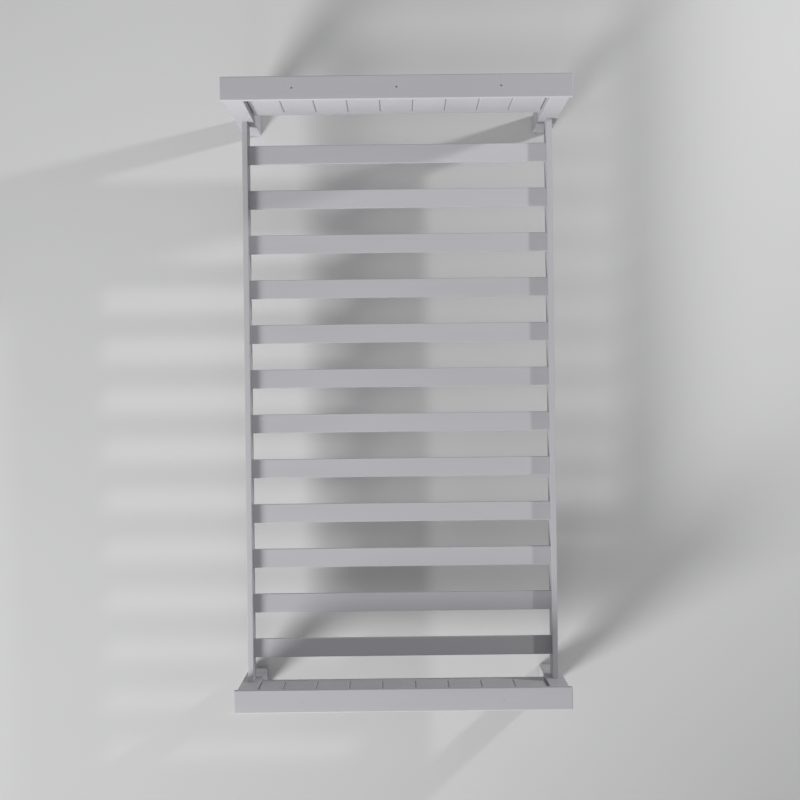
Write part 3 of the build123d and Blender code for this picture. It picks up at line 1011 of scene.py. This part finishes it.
# %% [markdown]
# ## End rails
#
# Each panel is held between a top rail under the cap and a thinner bottom rail.  Both
# have a stub tenon on each end and a groove for the tongues of the planks.  They are made
# as the planks are: slices mark the tenon's strip, the ends are pulled out, and the
# groove and the screw holes are cut.  Extruded tenons stay one solid with their rail, as
# sawn ones do.

# %% End rails
RAIL_ROUNDING = 1.5 * MM
RAIL_PATTERN = 60
HALF_CUTTER = 600.0 * MM


def make_end_rail(end, level):
    """A top or bottom rail with tenons and a groove."""
    name = f"{end}_{level}_rail"
    low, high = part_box(name)
    panel_y = middle_of(end + "_bottom_rail").y
    half_x = high.x - TONGUE_DEPTH
    rail = start_block(name + "_board", (-half_x, low.y, low.z), (half_x, high.y, high.z))
    round_edges(rail, runs_along("X"), RAIL_ROUNDING, 3)
    mark_strip(rail, panel_y)
    extrude_strip(rail, "X", 1, panel_y)
    extrude_strip(rail, "X", -1, panel_y)
    depth = TONGUE_DEPTH + END_ROOM
    if level == "top":
        bottom, top = low.z - OVERRUN, low.z + depth
    else:
        bottom, top = high.z - depth, high.z + OVERRUN
    corner = (-HALF_CUTTER, panel_y - HALF_GROOVE, bottom)
    mill(rail, corner, (HALF_CUTTER, panel_y + HALF_GROOVE, top))
    return rail


def bore_screw_holes(rail, end):
    """Holes for the cap screws, from the top of the rail to just past their tips."""
    low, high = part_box(end + "_cap_screws")
    tip = low.z - END_ROOM
    for x, y in screw_places(end):
        middle = (x, y, (tip + high.z) / 2)
        drill(rail, middle, SCREW_RADIUS + PIN_ROOM, high.z - tip)


for number, end in enumerate(ENDS):
    for level in ("top", "bottom"):
        rail = make_end_rail(end, level)
        if level == "top":
            bore_screw_holes(rail, end)
        seed = RAIL_PATTERN + 2 * number + len(level)
        paint = painted_board(f"{end}_{level}_rail_paint", "X", seed)
        finish_piece(rail, paint, "frame_paint", f"{end}_{level}_rail")

# %% [markdown]
# ## Posts
#
# A post is 63 mm square with its long edges rounded.  It has a groove for the panel, two
# counterbored holes for the bolts of the side rail, and blind holes for dowels and for
# the nail of its glide.  A drill leaves a sharp rim round a counterbore, and sanding and
# paint soften it.  The long edges are rounded before the holes are bored, because a bevel
# that meets a hole folds over itself.

# %% Post with its groove and counterbores
POST_ROUNDING = 2.5 * MM
FOOT_ROUNDING = 1.0 * MM
COUNTERBORE_RADIUS = 9.5 * MM
COUNTERBORE_DEPTH = 10.0 * MM
COUNTERBORE_RIM = 0.6 * MM
BOLT_RADIUS = 3.0 * MM
THROUGH_POST = 200.0 * MM


def make_post(end, side):
    """A square post with its groove and its bolt holes."""
    name = f"{end}_{side}_post"
    low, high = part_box(name)
    post = start_block(name + "_board", low, high)
    round_edges(post, runs_along("Z"), POST_ROUNDING, 4)
    round_edges(post, lambda a, b: max(a.z, b.z) < low.z + CLOSE, FOOT_ROUNDING, 2)

    panel_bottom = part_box(end + "_bottom_rail")[0].z
    panel_y = middle_of(end + "_bottom_rail").y
    inner_x = low.x if side == "right" else high.x
    depth = TONGUE_DEPTH + END_ROOM
    corner = (inner_x - depth, panel_y - HALF_GROOVE, panel_bottom)
    mill(post, corner, (inner_x + depth, panel_y + HALF_GROOVE, high.z + 2 * OVERRUN))

    outer_y = high.y if ENDS[end] > 0 else low.y
    for x, z in bolt_places(end):
        if low.x < x < high.x:
            place = (x, outer_y, z)
            drill(post, place, BOLT_RADIUS + PIN_ROOM, THROUGH_POST, "Y")
            drill(post, place, COUNTERBORE_RADIUS, 2 * COUNTERBORE_DEPTH, "Y", 64)
            counterbore = rim("Y", outer_y, place, COUNTERBORE_RADIUS)
            round_edges(post, counterbore, COUNTERBORE_RIM, 2)
    return post


# %% [markdown]
# ### Blind holes in the posts
#
# A blind hole is bored half a millimetre deeper than its pin is long, as a joiner leaves
# room for glue.  Its depth comes from the box of the pin, so the two can't disagree.

# %% Blind holes in the posts
RAIL_DOWEL_RADIUS = 4.0 * MM
NAIL_RADIUS = 1.5 * MM
POST_PATTERN = 70


def bore_blind_holes(post, end, side):
    """Blind holes for the rail dowel, the cap dowel and the glide's nail."""
    low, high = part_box(f"{end}_{side}_post")
    x, y = (low.x + high.x) / 2, (low.y + high.y) / 2
    inner_y = low.y if ENDS[end] > 0 else high.y
    dowel_low, dowel_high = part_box(end + "_rail_dowels")
    reach = max(abs(dowel_low.y), abs(dowel_high.y)) + END_ROOM - abs(inner_y)
    place = (x, inner_y, (dowel_low.z + dowel_high.z) / 2)
    drill(post, place, RAIL_DOWEL_RADIUS + PIN_ROOM, 2 * reach, "Y")
    deep = high.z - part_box(end + "_cap_dowels")[0].z + END_ROOM
    drill(post, (x, y, high.z), DOWEL_RADIUS + PIN_ROOM, 2 * deep)
    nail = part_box(end + "_foot_glides")[1].z + END_ROOM - low.z
    drill(post, (x, y, low.z), NAIL_RADIUS + PIN_ROOM, 2 * nail, sides=24)


for number, end in enumerate(ENDS):
    for offset, side in enumerate(SIDES):
        post = make_post(end, side)
        bore_blind_holes(post, end, side)
        seed = POST_PATTERN + 2 * number + offset
        paint = painted_board(f"{end}_{side}_post_paint", "Z", seed)
        finish_piece(post, paint, "frame_paint", f"{end}_{side}_post")

# %% [markdown]
# ## Side rails
#
# A side rail is a board on edge with twelve blind mortises along its inner face, one for
# each slat end.  Its own ends are drilled for two bolts and a dowel, and two holes in the
# inner face take the cross nuts that the bolts pull on.  Each mortise is cut to the box
# of its own slat, with a quarter of a millimetre of room.

# %% Side rail with its mortises
def make_side_rail(side):
    """A rail with a blind mortise for every slat."""
    name = side + "_side_rail"
    way = SIDES[side]
    low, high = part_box(name)
    rail = start_block(name + "_board", low, high)
    round_edges(rail, runs_along("Y"), RAIL_ROUNDING, 3)
    inner_x = low.x if way > 0 else high.x
    for slat in slat_names:
        slat_low, slat_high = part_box(slat)
        deep = slat_high.x - abs(inner_x) + END_ROOM
        x_low, x_high = sorted((inner_x - way * OVERRUN, inner_x + way * deep))
        corner = (x_low, slat_low.y - GROOVE_ROOM, slat_low.z)
        mill(rail, corner, (x_high, slat_high.y + GROOVE_ROOM, slat_high.z + GROOVE_ROOM))
    return rail


# %% [markdown]
# ### Holes in the ends of the side rails
#
# The bolt holes run along the rail, and the holes of the cross nuts meet them from the
# inner face.  The shaft of a real drill leaves the same open crossing that the two
# booleans leave here.

# %% Holes in the ends of the side rails
BARREL_RADIUS = 5.0 * MM
NUT_HOLE_START = 20.0 * MM
SIDE_RAIL_PATTERN = 80


def hole_depth(name, end_y):
    """How deep a hole from the end of a rail has to be for a piece of hardware."""
    low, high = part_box(name)
    return END_ROOM + abs(end_y) - min(abs(low.y), abs(high.y))


def bore_rail_end(rail, side, end):
    """Bolt, dowel and cross nut holes at one end of a side rail."""
    low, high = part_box(side + "_side_rail")
    x = (low.x + high.x) / 2
    end_y = high.y if ENDS[end] > 0 else low.y
    bolt_deep = hole_depth(end + "_bed_bolts", end_y)
    dowel_deep = hole_depth(end + "_rail_dowels", end_y)
    nut_y = middle_of(end + "_barrel_nuts").y
    nut_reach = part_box(end + "_barrel_nuts")[1].x - abs(x)
    for bolt_x, z in bolt_places(end):
        if low.x < bolt_x < high.x:
            drill(rail, (bolt_x, end_y, z), BOLT_RADIUS + PIN_ROOM, 2 * bolt_deep, "Y")
            start = bolt_x - SIDES[side] * NUT_HOLE_START
            stop = bolt_x + SIDES[side] * nut_reach
            place = ((start + stop) / 2, nut_y, z)
            drill(rail, place, BARREL_RADIUS + PIN_ROOM, abs(stop - start), "X", 40)
    place = (x, end_y, middle_of(end + "_rail_dowels").z)
    drill(rail, place, RAIL_DOWEL_RADIUS + PIN_ROOM, 2 * dowel_deep, "Y")


for number, side in enumerate(SIDES):
    rail = make_side_rail(side)
    for end in ENDS:
        bore_rail_end(rail, side, end)
    paint = painted_board(side + "_side_rail_paint", "Y", SIDE_RAIL_PATTERN + number)
    finish_piece(rail, paint, "frame_paint", side + "_side_rail")

# %% [markdown]
# ### Insets, knurls and copies
#
# Small turned parts need a few more helpers.  An inset draws a smaller face inside a face,
# and can sink it.  Sinking every second face round a rod makes a knurl or a flute.  What
# repeats is modelled once, and its copies are joined to it.


# %% Insets, knurls and copies
CENTRE_REACH = 0.5 * MM


def inset_faces(piece, test, width, depth=0.0, each=False):
    """Insets the chosen faces, and sinks or raises them by a depth."""
    pick_faces(piece, test)
    bpy.ops.mesh.inset(thickness=width, depth=depth, use_individual=each)
    leave_edit()


def centred_face(axis, sign, around):
    """A test for the flat face that looks along an axis and is centred on a point."""
    flat = looks(axis, sign)
    others = [i for i in range(3) if i != "XYZ".index(axis)]

    def test(middle, normal):
        away = [middle[i] - around[i] for i in others]
        return flat(middle, normal) and math.hypot(*away) < CENTRE_REACH

    return test


def every_second_side(axis, sides):
    """A test for every second face round a rod, for flutes and knurls."""
    others = [i for i in range(3) if i != "XYZ".index(axis)]
    step = 2.0 * math.pi / sides

    def test(middle, normal):
        across = math.hypot(normal[others[0]], normal[others[1]])
        turn = math.atan2(normal[others[1]], normal[others[0]])
        return across > 0.99 and math.floor(turn / step) % 2 == 0

    return test


def copy_piece(piece, shift):
    """A copy with its own mesh, moved by a shift."""
    select_only(piece)
    bpy.ops.object.duplicate(linked=False)
    twin = bpy.context.active_object
    twin.location = shift
    bpy.ops.object.transform_apply(location=True, rotation=True, scale=True)
    return twin


def join_pieces(name, pieces):
    """Joins pieces into one object."""
    select_only(*pieces)
    bpy.ops.object.join()
    joined = bpy.context.active_object
    joined.name = name
    joined.data.name = name
    return joined


# %% [markdown]
# ## Bed bolts
#
# Each rail end is pulled up by two M6 socket head bolts.  The head is cold-forged, with a
# knurl round its side so that fingers can start it and a hexagon socket for the key.  The
# shank is pulled out of the head's seat face.  The rim is rounded before the knurl is
# pressed in, so that no bevel has to run round the knurl.  One bolt is modelled, and the
# other three of an end are copies of it.

# %% Bed bolts
BOLT_HEAD_RADIUS = 5.0 * MM
BOLT_HEAD_HEIGHT = 6.0 * MM
SOCKET_RADIUS = 2.5 * MM / math.cos(math.pi / 6)
SOCKET_DEPTH = 3.0 * MM
HEAD_SIDES = 48
HEAD_ROUNDING = 0.4 * MM
TIP_CHAMFER = 0.6 * MM
KNURL_WIDTH = 0.1 * MM
KNURL_DEPTH = 0.12 * MM


def make_bolt(end):
    """One bolt of an end, knurled, with a hexagon socket and a chamfered tip."""
    way = ENDS[end]
    low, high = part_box(end + "_bed_bolts")
    face_y, tip_y = (high.y, low.y) if way > 0 else (low.y, high.y)
    seat_y = face_y - way * BOLT_HEAD_HEIGHT
    x, z = bolt_places(end)[0]
    place = (x, (face_y + seat_y) / 2, z)
    bolt = start_rod(end + "_bolt", place, BOLT_HEAD_RADIUS, BOLT_HEAD_HEIGHT, "Y", HEAD_SIDES)
    inset_faces(bolt, looks("Y", -way), BOLT_HEAD_RADIUS - BOLT_RADIUS)
    extrude_faces(bolt, centred_face("Y", -way, place), (0.0, tip_y - seat_y, 0.0))
    round_edges(bolt, rim("Y", tip_y, place, BOLT_RADIUS), TIP_CHAMFER, 1)
    round_edges(bolt, rim("Y", face_y, place, BOLT_HEAD_RADIUS), HEAD_ROUNDING, 2)
    sides = every_second_side("Y", HEAD_SIDES)

    def on_head(middle, normal):
        return sides(middle, normal) and way * (middle.y - seat_y) > 0

    inset_faces(bolt, on_head, KNURL_WIDTH, -KNURL_DEPTH, each=True)
    drill(bolt, (x, face_y, z), SOCKET_RADIUS, 2 * SOCKET_DEPTH, "Y", 6)
    return bolt


def repeat_at_bolts(end, piece, name):
    """Copies a piece made at the first bolt to the other three, and joins them."""
    places = bolt_places(end)
    first = places[0]
    copies = [copy_piece(piece, (x - first[0], 0.0, z - first[1])) for x, z in places[1:]]
    return join_pieces(name, [piece] + copies)


# %% [markdown]
# ### Washers
#
# A washer is punched from sheet, which leaves both of its rims slightly rolled.  It starts
# as a flat rod, the hole is bored, and then all the round edges are rounded at once.  The
# bolts and the washers of an end are made together, as they are fitted.

# %% Washers
WASHER_ROUNDING = 0.2 * MM
THROUGH_STEEL = 20.0 * MM


def stays_level(axis):
    """A test for edges that stay at one level along an axis."""
    place = "XYZ".index(axis)
    return lambda a, b: abs(a[place] - b[place]) < CLOSE


def make_washer(end):
    """A punched washer with rolled rims."""
    low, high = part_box(end + "_bolt_washers")
    x, z = bolt_places(end)[0]
    middle = (x, (low.y + high.y) / 2, z)
    washer = start_rod(end + "_washer", middle, WASHER_RADIUS, high.y - low.y, "Y", 64)
    drill(washer, middle, BOLT_RADIUS + PIN_ROOM, THROUGH_STEEL, "Y")
    round_edges(washer, stays_level("Y"), WASHER_ROUNDING, 2)
    return washer


for end in ENDS:
    bolts = repeat_at_bolts(end, make_bolt(end), end + "_bolt_set")
    finish_piece(bolts, steel, "zinc_steel", end + "_bed_bolts")
    washers = repeat_at_bolts(end, make_washer(end), end + "_washer_set")
    finish_piece(washers, steel, "zinc_steel", end + "_bolt_washers")

# %% [markdown]
# ## Cross nuts
#
# A cross nut, or barrel nut, is a short steel bar with a tapped hole through its side.
# A screwdriver slot in its end lets the hole be turned into line with the bolt.  The
# hole and the slot are cut as a drill and a saw would cut them.


# %% Cross nuts
NUT_ROUNDING = 0.5 * MM
SLOT_HALF_WIDTH = 0.6 * MM
SLOT_DEPTH = 1.5 * MM


def make_cross_nuts(end, side):
    """The two cross nuts of one rail end, with their holes and slots."""
    low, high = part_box(end + "_barrel_nuts")
    lower, upper = [place for place in bolt_places(end) if place[0] * SIDES[side] > 0]
    x, z = lower
    half = high.x - abs(x)
    y = (low.y + high.y) / 2
    nut = start_rod(f"{end}_{side}_nut", (x, y, z), BARREL_RADIUS, 2 * half, "X")
    for way in (-1, 1):
        level = x + way * half
        round_edges(nut, rim("X", level, (level, y, z), BARREL_RADIUS), NUT_ROUNDING, 2)
    drill(nut, (x, y, z), BOLT_RADIUS + PIN_ROOM, THROUGH_STEEL, "Y")
    slot_x = x - SIDES[side] * half
    corner = (slot_x - SLOT_DEPTH, y - THROUGH_STEEL / 2, z - SLOT_HALF_WIDTH)
    mill(nut, corner, (slot_x + SLOT_DEPTH, y + THROUGH_STEEL / 2, z + SLOT_HALF_WIDTH))
    return [nut, copy_piece(nut, (0.0, 0.0, upper[1] - z))]


for end in ENDS:
    nuts = make_cross_nuts(end, "left") + make_cross_nuts(end, "right")
    finish_piece(join_pieces(end + "_nut_set", nuts), steel, "zinc_steel", end + "_barrel_nuts")

# %% [markdown]
# ## Cap screws
#
# Three trim-head wood screws hold a cap on its rail.  The small head has a square recess,
# which doesn't slip, and the shank ends in a point.  The thread is inside the wood for
# good, so the shank stays plain.

# %% Cap screws
RECESS_WIDTH = 2.4 * MM
RECESS_DEPTH = 1.8 * MM
POINT_LENGTH = 1.3 * MM
SCREW_ROUNDING = 0.3 * MM


def make_screw(end):
    """One screw, made from its head down, at the middle of the cap."""
    low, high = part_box(end + "_cap_screws")
    x, y = screw_places(end)[1]
    seat = high.z - SCREW_HEAD_HEIGHT
    middle = (x, y, (high.z + seat) / 2)
    screw = start_rod(end + "_screw", middle, SCREW_HEAD_RADIUS, SCREW_HEAD_HEIGHT, "Z", 40)
    inset_faces(screw, looks("Z", -1), SCREW_HEAD_RADIUS - SCREW_RADIUS)
    extrude_faces(screw, centred_face("Z", -1, middle), (0.0, 0.0, low.z - seat))
    round_edges(screw, rim("Z", low.z, middle, SCREW_RADIUS), POINT_LENGTH, 1)
    round_edges(screw, rim("Z", high.z, middle, SCREW_HEAD_RADIUS), SCREW_ROUNDING, 2)
    half = RECESS_WIDTH / 2
    corner = (x - half, y - half, high.z - RECESS_DEPTH)
    mill(screw, corner, (x + half, y + half, high.z + RECESS_DEPTH))
    return screw


def repeat_at_screws(end, piece, name):
    """Copies a piece made at the middle screw of a cap to the outer two, and joins them."""
    copies = [copy_piece(piece, (x, 0.0, 0.0)) for x, y in screw_places(end)[::2]]
    return join_pieces(name, [piece] + copies)


for end in ENDS:
    screws = repeat_at_screws(end, make_screw(end), end + "_screw_set")
    finish_piece(screws, steel, "zinc_steel", end + "_cap_screws")

# %% [markdown]
# ## Filler in the footboard's screw holes
#
# The holes in the headboard's cap are open, but those in the footboard's cap are stopped
# with filler and painted over, so that only a faint ring shows.  Each stopping is a short
# plug on top of the screw head.  It has shrunk a little as it dried, so it lies a fraction
# of a millimetre low and its middle is dished.

# %% Filler plugs
FILLER_SINK = 0.15 * MM
FILLER_ROUNDING = 0.2 * MM
DISH_EDGE = 1.2 * MM
DISH_DEPTH = 0.08 * MM
FILLER_PATTERN = 90


def make_filler(end):
    """One plug of filler over the middle screw of a cap."""
    x, y = screw_places(end)[1]
    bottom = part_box(end + "_cap_screws")[1].z
    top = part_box(end + "_cap")[1].z - FILLER_SINK
    middle = (x, y, (bottom + top) / 2)
    plug = start_rod(end + "_filler", middle, SCREW_HEAD_RADIUS, top - bottom)
    round_edges(plug, rim("Z", top, middle, SCREW_HEAD_RADIUS), FILLER_ROUNDING, 2)
    inset_faces(plug, looks("Z", 1), DISH_EDGE, -DISH_DEPTH)
    return plug


fillers = repeat_at_screws("footboard", make_filler("footboard"), "footboard_cap_filler")
# The filler carries the same painted shade as the footboard's cap.
filler_paint = painted_board("filler_paint", "X", FILLER_PATTERN, CAP_PAINTED_LIGHT_AND_SHADE["footboard"], 0.3)
finish_piece(fillers, filler_paint, "frame_paint")

# %% [markdown]
# ## Dowels
#
# The dowels are beech.  Shallow flutes along them let air and spare glue out of the
# hole, and both ends are chamfered so that they start easily.  The ends are chamfered
# first, because a chamfer across open flutes would tear.

# %% Dowels
DOWEL_SIDES = 36
FLUTE_DEPTH = 0.25 * MM
FLUTE_EDGE = 0.12 * MM
DOWEL_CHAMFER = 1.0 * MM


def make_dowel(name, place, radius, length, axis):
    """A fluted dowel with chamfered ends."""
    dowel = start_rod(name, place, radius, length, axis, DOWEL_SIDES)
    along = "XYZ".index(axis)
    for way in (-1, 1):
        level = place[along] + way * length / 2
        round_edges(dowel, rim(axis, level, place, radius), DOWEL_CHAMFER, 1)
    flutes = every_second_side(axis, DOWEL_SIDES)
    inset_faces(dowel, flutes, FLUTE_EDGE, -FLUTE_DEPTH, each=True)
    return dowel


def make_dowel_pair(end, kind, radius, axis):
    """The right and the left dowel of one kind, joined."""
    low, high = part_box(f"{end}_{kind}s")
    place = (high.x - radius, (low.y + high.y) / 2, (low.z + high.z) / 2)
    along = "XYZ".index(axis)
    dowel = make_dowel(f"{end}_{kind}", place, radius, high[along] - low[along], axis)
    twin = copy_piece(dowel, (-2 * place[0], 0.0, 0.0))
    return join_pieces(f"{end}_{kind}_pair", [dowel, twin])


for end in ENDS:
    pair = make_dowel_pair(end, "cap_dowel", DOWEL_RADIUS, "Z")
    finish_piece(pair, beech_upright, "beech_dowel", end + "_cap_dowels")
    pair = make_dowel_pair(end, "rail_dowel", RAIL_DOWEL_RADIUS, "Y")
    finish_piece(pair, beech_lengthways, "beech_dowel", end + "_rail_dowels")

# %% [markdown]
# ## Foot glides
#
# A plastic disc is nailed under each leg so that the bed slides without marking the
# floor.  The nail's domed head sits in a recess, clear of the floor.  Disc and nail are
# two pieces, because they have two materials.

# %% Foot glides
GLIDE_RADIUS = 18.0 * MM
GLIDE_HEIGHT = 5.0 * MM
GLIDE_ROUNDING = 1.2 * MM
RECESS_RADIUS = 6.0 * MM
GLIDE_RECESS_DEPTH = 2.2 * MM
RECESS_RIM = 0.4 * MM


def make_disc(end):
    """The plastic disc under the left post of one end."""
    low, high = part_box(end + "_foot_glides")
    x, y = low.x + GLIDE_RADIUS, (low.y + high.y) / 2
    middle = (x, y, GLIDE_HEIGHT / 2)
    disc = start_rod(end + "_disc", middle, GLIDE_RADIUS, GLIDE_HEIGHT, "Z", 72)
    round_edges(disc, rim("Z", 0.0, middle, GLIDE_RADIUS), GLIDE_ROUNDING, 4)
    drill(disc, (x, y, 0.0), RECESS_RADIUS, 2 * GLIDE_RECESS_DEPTH, sides=48)
    round_edges(disc, rim("Z", 0.0, middle, RECESS_RADIUS), RECESS_RIM, 2)
    drill(disc, (x, y, 0.0), NAIL_RADIUS, THROUGH_STEEL, sides=24)
    return disc


# %% [markdown]
# ### Glide nails
#
# The nail starts as its own head.  The lower rim is rounded into a dome, the middle of the
# top is inset to the width of the shank, and the shank is extruded from it.

# %% Glide nails
NAIL_HEAD_RADIUS = 4.0 * MM
NAIL_HEAD_HEIGHT = 1.2 * MM
NAIL_DOME = 1.0 * MM
NAIL_POINT = 1.2 * MM


def make_nail(end):
    """The domed nail in the disc under the left post of one end."""
    low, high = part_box(end + "_foot_glides")
    x, y = low.x + GLIDE_RADIUS, (low.y + high.y) / 2
    head_top = GLIDE_RECESS_DEPTH
    head_bottom = head_top - NAIL_HEAD_HEIGHT
    middle = (x, y, head_top - NAIL_HEAD_HEIGHT / 2)
    nail = start_rod(end + "_nail", middle, NAIL_HEAD_RADIUS, NAIL_HEAD_HEIGHT, "Z", 24)
    round_edges(nail, rim("Z", head_bottom, middle, NAIL_HEAD_RADIUS), NAIL_DOME, 4)
    inset_faces(nail, looks("Z", 1), NAIL_HEAD_RADIUS - NAIL_RADIUS)
    extrude_faces(nail, centred_face("Z", 1, middle), (0.0, 0.0, high.z - head_top))
    round_edges(nail, rim("Z", high.z, middle, NAIL_RADIUS), NAIL_POINT, 1)
    return nail


def pair_under_posts(end, piece, name):
    """Copies a piece from under the left post to under the right one, and joins them."""
    across = middle_of(end + "_right_post").x - middle_of(end + "_left_post").x
    return join_pieces(name, [piece, copy_piece(piece, (across, 0.0, 0.0))])


for end in ENDS:
    discs = pair_under_posts(end, make_disc(end), end + "_disc_pair")
    nails = pair_under_posts(end, make_nail(end), end + "_nail_pair")
    finish_piece(discs, plastic, "glide_plastic", end + "_foot_glides")
    finish_piece(nails, steel, "glide_plastic", end + "_foot_glides")

# %% [markdown]
# ## Studio floor
#
# The floor is a seamless sheet of pale matt paint, swept up far outside the view.  Paint
# of this kind is rolled on by hand, and a fine roller stipple keeps it from being perfectly
# smooth.  Its tone carries painted light: it is a little lighter towards the headboard and
# on the left, and darker away from the bed, as the lamps' light falls off.  One large plane
# is enough, because its edge is never seen from above.

# %% Studio floor
FLOOR_SIZE = 40.0

bpy.ops.object.select_all(action="DESELECT")
bpy.ops.mesh.primitive_plane_add(size=FLOOR_SIZE, location=(0.0, 0.0, 0.0))
floor = bpy.context.active_object
floor.name = "studio_floor"
print(floor.name, FLOOR_SIZE, "m across")

# %% [markdown]
# ### Floor paint and painted light
#
# The painted light is added up from three slow slopes: across the bed, along it, and
# outwards from its middle.  They are measured in metres on the floor itself.

# %% Floor paint and painted light
FLOOR_COLOUR = (0.60, 0.60, 0.60)
# Painted light on the floor: the slopes and the falloff below.
PAINTED_LIGHT_REACH = 1.6
PAINTED_LIGHT_ACROSS = 0.016
PAINTED_LIGHT_ALONG = 0.145
PAINTED_FALLOFF_REACH = 5.0
PAINTED_FALLOFF_TONE = 0.85


def make_floor_paint_and_light():
    """Pale floor paint with painted light: lighter towards the headboard, darker away from the
    bed.
    """
    material, tree, shader = empty_material("floor_paint_and_light")
    place = add(tree, "ShaderNodeTexCoord").outputs["Object"]
    parts = add(tree, "ShaderNodeSeparateXYZ", links={"Vector": place})
    # Painted light: a slope across the floor and one along it, lighter on the left and towards
    # the headboard.
    reach = (-PAINTED_LIGHT_REACH, PAINTED_LIGHT_REACH)
    across = spread(tree, parts.outputs["X"], *reach, PAINTED_LIGHT_ACROSS, -PAINTED_LIGHT_ACROSS)
    along = spread(tree, parts.outputs["Y"], *reach, -PAINTED_LIGHT_ALONG, PAINTED_LIGHT_ALONG)
    # Painted falloff: darker with distance from the middle of the bed.
    away = add(tree, "ShaderNodeVectorMath", links={0: place}, operation="LENGTH")
    away = math_node(tree, "POWER", away.outputs["Value"], 2.0)
    painted_falloff = spread(tree, away, 0.0, PAINTED_FALLOFF_REACH, 1.0, PAINTED_FALLOFF_TONE)
    stipple = stretched_noise(tree, place, (500.0, 500.0, 500.0), 2.0)
    cloud = stretched_noise(tree, place, (1.3, 1.3, 1.3), 2.0)
    tone = math_node(tree, "ADD", math_node(tree, "ADD", across, along), painted_falloff)
    tone = math_node(tree, "MULTIPLY", tone, vary(tree, cloud, 0.99, 1.01))
    tree.links.new(toned(tree, FLOOR_COLOUR, tone), shader.inputs["Base Color"])
    tree.links.new(vary(tree, stipple, 0.82, 0.95), shader.inputs["Roughness"])
    surface_bump(tree, shader, stipple, 0.1, 0.05 * MM)
    return material


floor_paint_and_light = make_floor_paint_and_light()
floor.data.materials.append(floor_paint_and_light)
print(floor_paint_and_light.name, "has", len(floor_paint_and_light.node_tree.nodes), "nodes")
